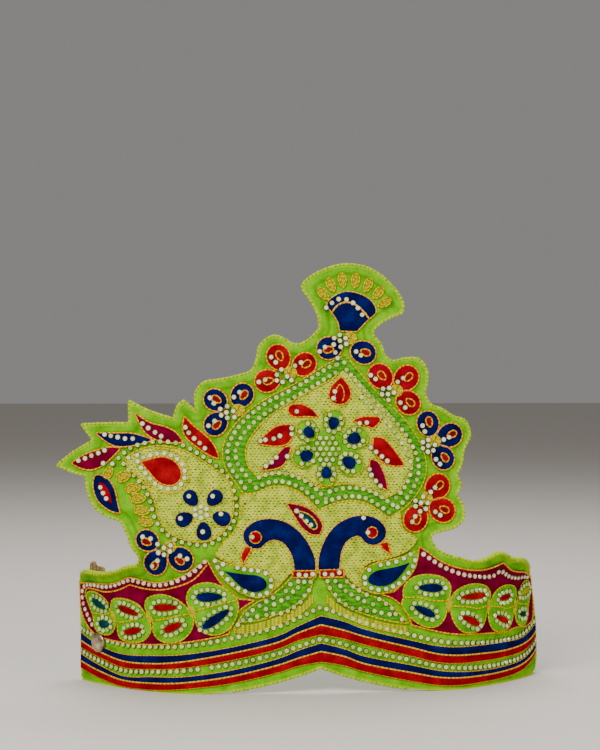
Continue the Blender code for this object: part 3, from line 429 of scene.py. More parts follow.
RIGHT_PANEL = (
    (44.2, 63.8, 1), (47.5, 61.8), (52, 58.5), (57, 55.8), (62, 54.2), (68, 53), (75, 52.6), (80, 53.3),
    (84, 54.6), (86, 55.6, 1), (89, 54), (94, 51.5), (100, 50.2), (106, 49.5), (112, 47.6),
    (116.4, 45, 1), (118, 38), (118.5, 30), (117, 25.3, 1), (110, 23.6), (100, 24), (90, 22.8),
    (84, 23.3), (75, 23.8), (68, 24.2), (62, 24.6), (55, 25.6), (48, 27.3), (40.7, 29.3, 1), (38.3, 35),
    (35.2, 38.8), (31, 41.7), (25, 43.6, 1), (32, 44), (36, 47), (39.5, 50.5), (42, 54.5), (43.5, 59))
MEDALLION_OUTER = (
    (11.5, 148.5, 1), (4, 144.8), (-5, 139.3), (-14, 134.2), (-24, 129), (-33, 122.5), (-39.5, 115),
    (-42.6, 107.5), (-41.5, 99.5), (-37.5, 93.5), (-33.8, 88.2, 1), (-28.5, 88.6), (-22, 91.2),
    (-15.5, 91.2), (-8, 88), (-0.5, 81, 1), (6, 83.7), (13, 85), (20, 84), (26, 80.6), (30.5, 77.3, 1),
    (37.5, 81.5), (43.5, 88), (47, 95.5), (47, 103), (44.3, 110.5), (39.5, 118), (34.5, 123.5),
    (28, 129.5), (21, 137), (15, 144.2))
MEDALLION_INNER = (
    (10.6, 141, 1), (4, 137.6), (-3.5, 133.5), (-11.5, 129), (-19.5, 124), (-26, 118.5), (-31, 112),
    (-33, 106), (-32, 100.5), (-30, 97.4), (-27.5, 95.2, 1), (-24, 95.8), (-19.5, 96.8), (-14, 96.4),
    (-7, 94), (0, 90, 1), (5.5, 91.2), (12, 92), (18.5, 90.6), (24, 87.8), (28.5, 85.3, 1), (32.5, 87.8),
    (36.5, 92.3), (38.8, 98), (39.2, 104), (37.2, 110.5), (33, 117), (28.5, 122.5), (22.5, 128.5),
    (17.5, 133.8), (13, 139))


def sew_patch(name, knots, lift, thick, dome, material, pitch=1.5):
    """Sews on the patch that takes the place of the CAD node of that name."""
    piece = sew_cloth(name + "_cloth", [smooth_line(knots)], lift, thick, dome, material, pitch)
    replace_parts(piece, name)


def moved_in(line, distance):
    """A closed line moved inwards by a distance; outwards where it is negative."""
    side = 1.0 if signed_area(line) > 0 else -1.0
    along = np.roll(line, -1, axis=0) - np.roll(line, 1, axis=0)
    along /= np.maximum(np.linalg.norm(along, axis=1), 1e-6)[:, None]
    return line + side * distance * np.stack([-along[:, 1], along[:, 0]], axis=1)


def brocade_cloth(name):
    """Pale brocade: fine ribbed weave with short dark weft floats in staggered rows."""
    material, tree, shader = new_material(name)
    flat = add_node(tree, "ShaderNodeTexCoord").outputs["UV"]
    wobble = add_node(tree, "ShaderNodeTexNoise", {"Vector": flat, "Scale": 0.5, "Detail": 2.0})
    centred = add_node(tree, "ShaderNodeVectorMath", {0: wobble.outputs["Color"], 1: (0.5, 0.5, 0.5)},
                       operation="SUBTRACT")
    drawn = add_node(tree, "ShaderNodeVectorMath", {0: centred.outputs[0], 1: (1.3, 1.3, 0), 2: flat},
                     operation="MULTIPLY_ADD")
    # Floats of 0.9 mm by 0.3 mm, 1.75 mm apart in uneven rows 1.15 mm apart.
    floats = add_node(tree, "ShaderNodeTexBrick",
                      {"Vector": drawn.outputs[0], "Scale": 1.0, "Mortar Size": 0.43, "Mortar Smooth": 0.25,
                       "Brick Width": 1.75, "Row Height": 1.15}).outputs["Fac"]
    ribs = add_node(tree, "ShaderNodeTexWave",
                    {"Vector": flat, "Scale": 0.8, "Distortion": 0.6, "Detail": 1.0}, bands_direction="Y")
    cloud = add_node(tree, "ShaderNodeTexNoise", {"Vector": flat, "Scale": 0.22, "Detail": 3.0})
    ground = add_node(tree, "ShaderNodeValToRGB", {"Fac": cloud.outputs["Fac"]},
                      ((0.34, "#94a810"), (0.5, "#b4c624"), (0.68, "#ccd03c")))
    ridge = add_node(tree, "ShaderNodeMix", {0: 0.25, 6: ground.outputs["Color"], 7: ribs.outputs["Color"]},
                     data_type="RGBA", blend_type="OVERLAY")
    fleck = add_node(tree, "ShaderNodeMapRange", {"Value": floats, 1: 0.0, 2: 1.0, 3: 0.95, 4: 0.0})
    # Some floats are worn away or covered, so the rows look uneven.
    worn = add_node(tree, "ShaderNodeTexNoise", {"Vector": flat, "Scale": 0.75, "Detail": 1.0})
    kept = add_node(tree, "ShaderNodeMapRange",
                    {"Value": worn.outputs["Fac"], 1: 0.38, 2: 0.52, 3: 0.2, 4: 1.0})
    fleck = add_node(tree, "ShaderNodeMath", {0: fleck.outputs[0], 1: kept.outputs[0]},
                     operation="MULTIPLY")
    colour = add_node(tree, "ShaderNodeMix", {0: fleck.outputs[0], 6: ridge.outputs[2], 7: srgb("#141a00")},
                      data_type="RGBA")
    height = add_node(tree, "ShaderNodeMath", {0: ribs.outputs["Fac"], 1: 0.5, 2: floats},
                      operation="MULTIPLY_ADD").outputs[0]
    finish_material(tree, shader, colour.outputs[2], height, 0.35, 0.0003,
                    {"Roughness": 0.6, "Specular IOR Level": 0.15})
    return material


def satin_cloth(name, deep, middle, pale):
    """Satin: smooth long floats that shine in soft streaks along the cloth."""
    material, tree, shader = new_material(name)
    flat = add_node(tree, "ShaderNodeTexCoord").outputs["UV"]
    stretch = add_node(tree, "ShaderNodeMapping", {"Vector": flat, "Scale": (0.35, 1.0, 1.0),
                                                   "Rotation": (0, 0, 0.5)}).outputs[0]
    streak = add_node(tree, "ShaderNodeTexNoise", {"Vector": stretch, "Scale": 0.9, "Detail": 3.0})
    colour = add_node(tree, "ShaderNodeValToRGB", {"Fac": streak.outputs["Fac"]},
                      ((0.32, deep), (0.5, middle), (0.7, pale)))
    threads = add_node(tree, "ShaderNodeTexWave", {"Vector": stretch, "Scale": 2.0, "Distortion": 0.5},
                       bands_direction="Y").outputs["Fac"]
    finish_material(tree, shader, colour.outputs["Color"], threads, 0.2, 0.0002,
                    {"Roughness": 0.5, "Specular IOR Level": 0.1})
    return material


brocade = brocade_cloth("pale_silk_brocade")
# The maroon velvet's patches of red and paler magenta are painted sheen of its pile.
maroon = velvet("maroon_cotton_velvet", "#3c0010", "#680022", "#880038")
green_satin = satin_cloth("green_acetate_satin", "#226400", "#3a8c00", "#62b000")
for name, knots, cloth, slot in (("paisley_ground", PAISLEY_GROUND, brocade, "pale_brocade"),
                                 ("peacock_ground", PEACOCK_GROUND, brocade, "pale_brocade"),
                                 ("side_panel_left", LEFT_PANEL, maroon, "maroon_velvet"),
                                 ("side_panel_right", RIGHT_PANEL, maroon, "maroon_velvet")):
    sew_patch(name, knots, CLEAR, LAYER, 0.2, cloth)


MEDALLION_MIDDLE = (3, 108)


def turn_about(places):
    """The turn of places about the medallion's middle, in degrees."""
    return np.degrees(np.arctan2(places[:, 1] - MEDALLION_MIDDLE[1], places[:, 0] - MEDALLION_MIDDLE[0]))


medallion_in = smooth_line(MEDALLION_INNER)
medallion_out = smooth_line(MEDALLION_OUTER)
# On the right the brocade runs on under the rows of stones: how far, by the turn in degrees.
LEDGE = ((-40, 0), (-15, 2.8), (70, 2.8), (84, 0))
widened = np.interp(turn_about(medallion_in), *np.array(LEDGE).T)
medallion_in = moved_in(medallion_in, -widened[:, None])
medallion_ground = sew_cloth("medallion_ground_cloth", [moved_in(medallion_in, 0.2)], CLEAR, LAYER, 0.2,
                             brocade)
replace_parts(medallion_ground, "medallion_ground")
medallion_border = sew_cloth("medallion_border_cloth", [medallion_out], CLEAR, LAYER, 0.2, green_satin,
                             hole=medallion_in)
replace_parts(medallion_border, "medallion_border")


# The leaf pairs on the side panels.
# Each pair is one cut of lime velvet with two almond leaves on it, one above the other, in
# navy, teal or scarlet. A ring of stones runs round each almond.
UPPER_LAYER = 0.97
LEAF_PAIRS = {
    "leaf_pair_left_1": (
        (-58.5, 42.4), (-57, 46), (-52.7, 48.2), (-47, 48.1), (-41.2, 45.3), (-37, 41.3, 1),
        (-36.6, 37.5), (-38.3, 32.2), (-41.3, 28.3), (-46, 26.4), (-50.8, 27.2), (-54, 30.3),
        (-55.3, 36.2, 1), (-57.8, 39)),
    "leaf_pair_left_2": (
        (-79, 37.6), (-78, 40.5), (-74.5, 42.1), (-69.5, 42.7), (-63.8, 41.2), (-59.4, 38.2),
        (-57.7, 35.2, 1), (-56, 32.6), (-57.4, 27.8), (-61.1, 24), (-66, 22.6), (-71, 23.4),
        (-74.3, 26.4), (-74.7, 31.4, 1), (-77.6, 34.6)),
    "leaf_pair_left_3": (
        (-98.8, 36.2), (-97.6, 38.8), (-93.5, 39.6), (-87.8, 39.1), (-83, 37.4), (-79.6, 34.2, 1),
        (-76.8, 30.2), (-76.4, 26.8), (-79.6, 22.9), (-84.5, 21.5), (-90.2, 21.5), (-94, 23.3),
        (-95, 29.2, 1), (-97.8, 32.4)),
    "leaf_pair_left_4": (
        (-117.3, 39), (-116, 40.5), (-111.5, 41.1), (-106, 39.8), (-101.6, 37.2), (-99.6, 33.2, 1),
        (-97, 30.3), (-96.8, 27.4), (-99, 24.2), (-102.5, 23.2), (-106.5, 23.6), (-109.8, 25.3),
        (-111.6, 31.2, 1), (-115, 35.2)),
    "leaf_pair_right_1": (
        (37, 44.4), (38.2, 47.6), (42.2, 50.4), (48, 51.2), (54, 50), (57.2, 47.4), (57.8, 44),
        (56.2, 39.8, 1), (55.9, 35), (54.4, 31.3), (51.3, 28.8), (47, 28.8), (42.2, 31.2), (38.6, 34.8),
        (36.3, 38.4), (37.2, 41.6, 1)),
    "leaf_pair_right_2": (
        (58.9, 41), (61.8, 44.2), (67, 46), (73, 46), (78.6, 44), (80.4, 40.6), (78.6, 36.6, 1),
        (77.4, 32.5), (75.9, 28.8), (72.5, 25.9), (68, 25.2), (63.6, 26.2), (60.4, 29.6), (58.7, 34)),
    "leaf_pair_right_3": (
        (81.4, 37.8), (84.4, 41.4), (89.6, 43.5), (95.4, 43.6), (99.4, 42), (100.2, 38.8),
        (97.8, 34.6, 1), (97.2, 30), (95.4, 26.4), (91.6, 24.2), (87.4, 23.8), (83, 25), (80.2, 28.4),
        (79.4, 33)),
    "leaf_pair_right_4": (
        (102, 37), (104, 41.2), (108, 44), (112, 44.2), (113.6, 41), (113.2, 37), (111.2, 33, 1),
        (110.6, 29), (108.6, 25.6), (104.8, 24.6), (101.4, 26.2), (99.8, 29.6), (100.6, 33)),
}
# Each almond: its round end, its pointed end, its half width and its cloth.
ALMONDS = (
    ((-54.6, 42.6), (-43.2, 42.8), 2.3, "navy"),
    ((-51.9, 29.2), (-40.4, 37.0), 2.2, "navy"),
    ((-74.1, 37.3), (-62.9, 38.0), 1.8, "scarlet"),
    ((-68.7, 27.4), (-60.7, 31.1), 1.9, "scarlet"),
    ((-93.7, 36.2), (-82.8, 33.6), 1.6, "scarlet"),
    ((-90.3, 25.0), (-81.0, 27.2), 1.8, "scarlet"),
    ((-111.6, 37.8), (-102.0, 34.8), 1.6, "teal"),
    ((-106.2, 27.5), (-99.6, 28.0), 2.0, "teal"),
    ((54.2, 45.6), (43.7, 45.9), 2.1, "navy"),
    ((50.7, 33.4), (41.6, 37.7), 1.9, "navy"),
    ((76.6, 41.2), (62.8, 40.9), 1.6, "scarlet"),
    ((72.3, 28.2), (63.4, 32.7), 1.8, "scarlet"),
    ((94.6, 39.2), (86.5, 38.3), 1.4, "scarlet"),
    ((92.6, 27.6), (84.2, 30.8), 1.5, "scarlet"),
    ((111.9, 41.0), (103.3, 38.8), 1.75, "olive"),
    ((107.6, 29.6), (102.6, 30.0), 1.3, "teal"),
)


def almond_line(round_end, point, half_width, steps=18):
    """A leaf shape, round at one end and pointed at the other."""
    start, end = np.array(round_end), np.array(point)
    along = (end - start) / np.linalg.norm(end - start)
    across = np.array([-along[1], along[0]])
    length = np.linalg.norm(end - start)
    line = []
    for index in range(steps):
        turn = 2 * math.pi * index / steps
        share = (1 - math.cos(turn)) / 2
        width = half_width * math.sin(turn) * (1 - 0.35 * share)
        line.append(start + along * length * share + across * width)
    return np.array(line)


teal = velvet("teal_cotton_velvet", "#001c20", "#013438", "#0a5c50")
olive = velvet("olive_cotton_velvet", "#5c6404", "#868c0c", "#aaa41c")
cloths = {"navy": (navy, "navy_velvet"), "teal": (teal, "navy_velvet"), "scarlet": (scarlet, "red_velvet"),
          "olive": (olive, "lime_velvet")}
for name, knots in LEAF_PAIRS.items():
    sew_patch(name, knots, UPPER_LAYER, 0.55, 0.15, lime_patch)
for colour, (cloth, slot) in cloths.items():
    lines = [almond_line(*almond[:3]) for almond in ALMONDS if almond[3] == colour]
    sew_cloth(f"leaf_almonds_{colour}", lines, UPPER_LAYER + 0.72, 0.45, 0.3, cloth,
              pitch=1.0)


# The leaves, flower and eye of the medallion.
# Seven scalloped leaves of scarlet and maroon velvet stand round one flower of lime velvet,
# whose petals hold navy hearts. A maroon leaf with a green eye lies below.
MEDALLION_LEAVES = {
    "medallion_leaf_top": (
        (9.5, 139, 1), (12.5, 135.5), (13.6, 131.5), (12, 128.3), (9, 127.3), (6, 128), (4.3, 131),
        (5.5, 135)),
    "medallion_leaf_upper_left": (
        (-13, 126.4), (-8.5, 127), (-3.5, 124.6), (-1, 121.6, 1), (-6, 122), (-11.5, 121.9),
        (-13.8, 124)),
    "medallion_leaf_left": (
        (-27.5, 110, 1), (-23.5, 114), (-19, 117.3), (-13.2, 118, 1), (-12.6, 113.5), (-14.5, 110),
        (-20, 108.9)),
    "medallion_leaf_lower_left": (
        (-26, 98.3, 1), (-21, 101.5), (-18.5, 105), (-15.5, 108), (-13, 108.2, 1), (-14.5, 104),
        (-16.5, 100.5), (-20.5, 98.8)),
    "medallion_leaf_upper_right": (
        (15, 119.8, 1), (19, 121.3), (26.5, 121.3, 1), (26.5, 119.5), (23.5, 116.6, 1), (20, 118)),
    "medallion_leaf_right": (
        (24, 112.3, 1), (28, 111.8), (31.5, 108.5), (34.5, 104.5), (37.5, 100.2, 1), (33, 99.9),
        (28.5, 101.3), (25.5, 104.5), (23.8, 108)),
    "medallion_leaf_lower_right": (
        (22.5, 102.5, 1), (25.5, 101.5), (27.5, 98), (29, 94), (29.8, 89, 1), (26.5, 91.5), (23.5, 95),
        (22.2, 99)),
}
CENTRE_FLOWER = ((2.7, 107.5), ((6.2, 119.9, 5.2), (-5.7, 115.5, 5.2), (16, 112.4, 5.7), (-7.1, 104.1, 5.5),
                                (13.7, 100.9, 5.9), (2.7, 95.9, 5)))
CENTRE_HUB = 8.0
HEART_SHARE = 0.52
HEART_SHIFT = 1.1
EYE_LEAF = (
    (-14.5, 83.3, 1), (-10, 82.7), (-5, 80.8), (-1, 77), (0.8, 73.5), (-0.6, 69.8, 1), (-4, 70), (-8, 73),
    (-11, 77.5))
EYE_HEART = ((-9.5, 80), (-5.5, 78.8), (-2.5, 76), (-1.5, 73), (-3.2, 72), (-6, 74.2), (-8.4, 77.4))


def flower_line(middle, petals, hub, sides=90):
    """The outline of round petals about a hub, as the furthest reach in each direction."""
    line = []
    for index in range(sides):
        turn = 2 * math.pi * index / sides
        reach = hub
        for s, z, radius in petals:
            away = math.hypot(s - middle[0], z - middle[1])
            apart = turn - math.atan2(z - middle[1], s - middle[0])
            inside = radius ** 2 - (away * math.sin(apart)) ** 2
            if inside >= 0 and math.cos(apart) > 0:
                reach = max(reach, away * math.cos(apart) + math.sqrt(inside))
        line.append((middle[0] + reach * math.cos(turn), middle[1] + reach * math.sin(turn)))
    return np.array(line)


def heart_line(middle, petal, share):
    """The heart of a petal: a drop whose point looks at the flower's middle."""
    s, z, radius = petal
    out = np.array([s - middle[0], z - middle[1]])
    out /= np.linalg.norm(out)
    centre = np.array([s, z]) - out * HEART_SHIFT * (1 if share < 1 else 0)
    return almond_line(centre + out * radius * share, centre - out * radius * share * 1.05, radius * share)


for name, knots in MEDALLION_LEAVES.items():
    cloth = maroon if name in ("medallion_leaf_lower_left", "medallion_leaf_lower_right") else scarlet
    sew_patch(name, knots, UPPER_LAYER, 0.55, 0.35, cloth, 1.0)
centre_flower = sew_cloth("centre_flower_cloth", [flower_line(*CENTRE_FLOWER, CENTRE_HUB)], UPPER_LAYER, 0.5,
                          0.15, lime_patch)
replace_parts(centre_flower, "centre_flower")
hearts = [heart_line(CENTRE_FLOWER[0], petal, HEART_SHARE) for petal in CENTRE_FLOWER[1]]
sew_cloth("centre_flower_hearts", hearts, UPPER_LAYER + 0.67, 0.4, 0.3, navy,
          pitch=1.0)
sew_patch("eye_leaf", EYE_LEAF, UPPER_LAYER, 0.5, 0.3, maroon,
          1.0)
sew_cloth("eye_leaf_heart", [smooth_line(EYE_HEART)], UPPER_LAYER + 0.8, 0.35, 0.15, teal,
          pitch=1.0)


# The pair of peacocks.
# Navy velvet necks cross over a red sash. Each wing is a navy drop on lime velvet, ringed
# with stones; each tail is a sweep of green satin.
LEFT_PEACOCK = (
    (-11.6, 54.2, 1), (-2.4, 54.2, 1), (-2.6, 59), (-5, 65), (-9.5, 71), (-15.5, 75.2), (-22.5, 76.7),
    (-29, 75.4), (-33.3, 71.8), (-33.8, 68), (-31.2, 64.6), (-27, 63.9), (-23.6, 66.6), (-20.5, 67.6),
    (-16.5, 66.2), (-13.4, 62.3), (-11.9, 58))
RIGHT_PEACOCK = (
    (-0.9, 54.4, 1), (-0.6, 60), (1.6, 66.5), (5.8, 72.6), (12, 76.6), (19, 77.9), (25.2, 76.3),
    (28.9, 72), (28.3, 67.6), (24.2, 65), (20, 66), (17.5, 68.8), (14.5, 68.6), (11, 66), (9, 61.5),
    (8.2, 54.4, 1))
BEAKS = (
    ((-33.2, 64.6, 1), (-30.2, 64.2, 1), (-31.6, 61.2), (-34.2, 56.8, 1), (-35, 60.5)),
    ((26.2, 65.4, 1), (30, 66.4, 1), (30.6, 63.5), (31.4, 60.8, 1), (28.4, 62.4)))
LEFT_WING = (
    (-47.3, 59.3, 1), (-41, 57), (-34, 56), (-27, 54.7), (-22.3, 51.8), (-20.9, 47.8), (-22.3, 43.9),
    (-26.5, 42.4), (-31, 42.9), (-36, 45), (-41, 49), (-45.2, 54))
RIGHT_WING = (
    (43.8, 62.3, 1), (38.5, 60.2), (32, 58.4), (25, 57), (19.5, 54.2), (17.5, 50), (18.7, 46.2),
    (23, 43.9), (28.5, 43.7), (33.5, 45.6), (38.5, 49.8), (42.3, 55.3))
LEFT_WING_DROP = (
    (-42.5, 54, 1), (-38, 53.2), (-33, 52.5), (-28, 52), (-25, 50.5), (-23.8, 48), (-25.5, 45.6),
    (-29.5, 44.9), (-33.5, 46.2), (-37, 49), (-40, 52))
RIGHT_WING_DROP = (
    (39.5, 57, 1), (35, 55.5), (30, 54.5), (25, 53.5), (21.8, 51.5), (21, 49), (23.5, 47.3), (28, 46.9),
    (32, 48.3), (35.5, 51.5), (38, 54.8))
LEFT_TAIL = (
    (-3.3, 51.5, 1), (-12.6, 51.5, 1), (-15.4, 48.3), (-19, 45.2), (-23, 42.7), (-28, 40.2), (-33, 36.4),
    (-36.5, 31.5, 1), (-29, 32), (-21, 34.2), (-13, 37.8), (-7.5, 41.8), (-4.2, 46.5))
RIGHT_TAIL = (
    (2.2, 51.5, 1), (9.6, 51.5, 1), (12.3, 48.4), (15.8, 45.6), (20.5, 43.1), (27, 40.8), (32.5, 37.2),
    (37.2, 32.2), (39.2, 30, 1), (31, 31.2), (22, 33.6), (13.5, 37), (7, 41.5), (3.6, 46.5))
SASH = (
    ((-12.4, 53.9, 1), (-2.2, 53.9, 1), (-2.2, 50.9, 1), (-12.4, 50.9, 1)),
    ((-0.4, 54.1, 1), (10.2, 54.6, 1), (10.4, 50.9, 1), (-0.4, 50.9, 1)))
for name, knots in (("peacock_left", LEFT_PEACOCK), ("peacock_right", RIGHT_PEACOCK)):
    sew_patch(name, knots, UPPER_LAYER, 0.55, 0.4, navy)
sew_cloth("peacock_beaks", [smooth_line(knots, step=0.7) for knots in BEAKS], UPPER_LAYER, 0.5, 0.3,
          scarlet, pitch=1.0)
for name, knots, drop in (("wing_left", LEFT_WING, LEFT_WING_DROP),
                          ("wing_right", RIGHT_WING, RIGHT_WING_DROP)):
    sew_patch(name, knots, UPPER_LAYER, 0.45, 0.15, lime_patch)
    sew_cloth(name + "_drop", [smooth_line(drop)], UPPER_LAYER + 0.62, 0.45, 0.35, navy)
for name, knots in (("tail_left", LEFT_TAIL), ("tail_right", RIGHT_TAIL)):
    sew_patch(name, knots, CLEAR, 0.6, 0.2, green_satin)
sew_cloth("neck_sash", [smooth_line(knots) for knots in SASH], LAYER + CLEAR, 0.5, 0.2, scarlet,
          pitch=1.0)


# The paisley and its plume.
# A brocade paisley with a scarlet drop and a navy flower, four pointed plume leaves above
# it, and a navy leaf with a red eye at its side.
PLUME_LEAVES = {
    "plume_leaf_outer": (
        (-110, 101, 1), (-105, 104.3), (-99, 106.5), (-93, 108), (-88.5, 107.6, 1), (-92, 104),
        (-96, 100.5), (-101, 98.4), (-106, 99)),
    "plume_leaf_blue": (
        (-99, 114.3, 1), (-92, 114.2), (-84, 114.2), (-78.5, 113), (-74.2, 111.4, 1), (-79, 109.9),
        (-85, 108.8), (-90, 108.8), (-94.5, 110.8)),
    "plume_leaf_maroon": (
        (-81.5, 123, 1), (-75.5, 119), (-69, 117.2), (-64, 114.8), (-60.8, 110.6, 1), (-66, 110.4),
        (-72.7, 111.9), (-77.5, 115.5)),
    "plume_leaf_red": (
        (-59.8, 121.5, 1), (-56, 117.5), (-51, 113.5), (-47, 109), (-44.8, 103.5, 1), (-48, 104.5),
        (-53.5, 108), (-58.4, 112), (-60.3, 116)),
}
SIDE_LEAF = (
    (-98.8, 95.8), (-94.5, 94.5), (-91.2, 90), (-89.8, 84), (-88.6, 79.3, 1), (-93, 80.5), (-98, 84.5),
    (-100.2, 90), (-100, 94))
SIDE_LEAF_HEART = ((-97.6, 92.8), (-94.6, 91.2), (-92.6, 87.4), (-92, 83.6, 1), (-94.6, 85), (-97, 88.6))
PAISLEY_DROP = (
    (-78.6, 101.6, 1), (-74, 103), (-69, 103.8), (-64.5, 102), (-61.7, 98.5), (-61.8, 94.5), (-64.5, 92),
    (-68.5, 92), (-72, 94), (-75.3, 97.7))
PAISLEY_FLOWER = ((-52.3, 79.8), ((-57, 86, 3.7), (-46.5, 86, 3.8), (-43.4, 77, 3.9), (-51.3, 71.2, 3.9),
                                  (-60, 76.6, 3.8)))
for (name, knots), cloth in zip(PLUME_LEAVES.items(), (maroon, navy, maroon, scarlet)):
    slot = {"plume_leaf_blue": "navy_velvet", "plume_leaf_red": "red_velvet"}.get(name, "maroon_velvet")
    sew_patch(name, knots, CLEAR, 0.7, 0.4, cloth, 1.2)
sew_patch("side_leaf", SIDE_LEAF, CLEAR, 0.7, 0.4, navy, 1.2)
sew_cloth("side_leaf_heart", [smooth_line(SIDE_LEAF_HEART)], 1.1, 0.3, 0.2, scarlet,
          pitch=1.0)
sew_patch("paisley_drop", PAISLEY_DROP, UPPER_LAYER, 0.5, 0.4, scarlet,
          1.2)
petals = []
for s, z, radius in PAISLEY_FLOWER[1]:
    centre = np.array([s, z])
    out = centre - np.array(PAISLEY_FLOWER[0])
    out /= np.linalg.norm(out)
    petals.append(almond_line(centre + out * radius, centre - out * radius * 1.1, radius * 1.02, 24))
paisley_flower = sew_cloth("paisley_flower_petals", petals, UPPER_LAYER, 0.5, 0.4, navy,
                           pitch=1.2)
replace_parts(paisley_flower, "paisley_flower")


# The border flowers and the fan.
# Seven flowers of two or three round petals edge the crest, in navy, scarlet and crimson,
# and a navy patch carries the fan of loops at the top.
BORDER_FLOWERS = {
    "border_flower_1": ((-68.3, 63.8), (-76.6, 67.4, 4.6), (-73.2, 57, 5.3), (-61.3, 58.9, 5.2)),
    "border_flower_2": ((-39, 124.9), (-46.5, 129.2, 4.8), (-46.3, 118.2, 5), (-34.2, 131.4, 5)),
    "border_flower_3": ((-14.5, 139.6), (-18.4, 148.3, 5.2), (-6.5, 145, 5), (-23.6, 137.4, 5)),
    "border_flower_4": ((11, 153.3), (4, 152, 5.1), (20, 150, 5.2)),
    "border_flower_5": ((33, 133), (27, 139.8, 5.3), (39.2, 139, 5.4), (40, 127.6, 5.2)),
    "border_flower_6": ((50.5, 109.6), (48.6, 118.8, 5.1), (59, 113.3, 5.3), (55.6, 102.9, 5.1)),
    "border_flower_7": ((46.8, 83.6), (53, 90.6, 5.4), (55.2, 79.8, 5.4), (42.6, 75.9, 5.4)),
}
FAN_PATCH = (
    (9.3, 159.8, 1), (8.3, 164), (5.7, 168), (3.6, 171.5), (6.5, 175), (12, 177.1), (18.5, 176),
    (23.5, 172.8), (25.4, 168.3), (22.3, 165.2, 1), (20, 163), (16.8, 159.6, 1))


def petal_line(middle, petal, steps=30):
    """One round petal, drawn out a little towards the flower's middle."""
    s, z, radius = petal
    out = np.array([s - middle[0], z - middle[1]])
    out /= np.linalg.norm(out)
    across = np.array([-out[1], out[0]])
    line = []
    for index in range(steps):
        turn = 2 * math.pi * index / steps
        reach = radius * (1.18 if math.cos(turn) < 0 else 1.0)
        place = np.array([s, z]) + out * reach * math.cos(turn) + across * radius * 0.96 * math.sin(turn)
        line.append(place)
    return np.array(line)


crimson = velvet("crimson_cotton_velvet", "#52000a", "#8c0016", "#b00428")
for name, places in BORDER_FLOWERS.items():
    cloth, slot = navy, "navy_velvet"
    if name in ("border_flower_3", "border_flower_5", "border_flower_7"):
        cloth, slot = (crimson if name == "border_flower_5" else scarlet), "red_velvet"
    petal_lines = [petal_line(places[0], petal) for petal in places[1:]]
    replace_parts(sew_cloth(name + "_petals", petal_lines, CLEAR, 0.7, 0.45, cloth,
                          pitch=1.2), name)
sew_patch("fan_patch", FAN_PATCH, CLEAR, 0.7, 0.4, navy)


# The couched threads along every edge.
# A two-ply metallic thread is laid on the cloth and tied down, gold and orange round the
# motifs, cream between the stripes. It hides the cut edges of the patches.
THREAD_SIDES = 6
THREAD_PITCH = 1.9
PLY_SWELL = 0.16
# A thread is pressed flat as it is tied down, and sinks a little into the cloth.
THREAD_FLAT = 0.85
THREAD_SUNK = 0.9


def thread_cloth(name, deep, middle, pale):
    """Metallic zari thread: foil wound on a core, brighter where a ply turns to the light."""
    material, tree, shader = new_material(name)
    along = add_node(tree, "ShaderNodeTexCoord").outputs["UV"]
    part = add_node(tree, "ShaderNodeSeparateXYZ", {0: along})
    turns = add_node(tree, "ShaderNodeMath",
                     {0: part.outputs["X"], 1: 1 / THREAD_PITCH, 2: part.outputs["Y"]},
                     operation="MULTIPLY_ADD")
    ply = add_node(tree, "ShaderNodeMath", {0: turns.outputs[0], 1: 0.5}, operation="PINGPONG")
    tone = add_node(tree, "ShaderNodeTexNoise", {"Vector": along, "Scale": 0.45, "Detail": 2.0})
    share = add_node(tree, "ShaderNodeMath", {0: ply.outputs[0], 1: 0.8, 2: tone.outputs["Fac"]},
                     operation="MULTIPLY_ADD")
    colour = add_node(tree, "ShaderNodeValToRGB", {"Fac": share.outputs[0]},
                      ((0.40, deep), (0.68, middle), (0.92, pale)))
    finish_material(tree, shader, colour.outputs["Color"], ply.outputs[0], 0.6, 0.0003,
                    {"Roughness": 0.45, "Metallic": 0.1, "Specular IOR Level": 0.05})
    return material


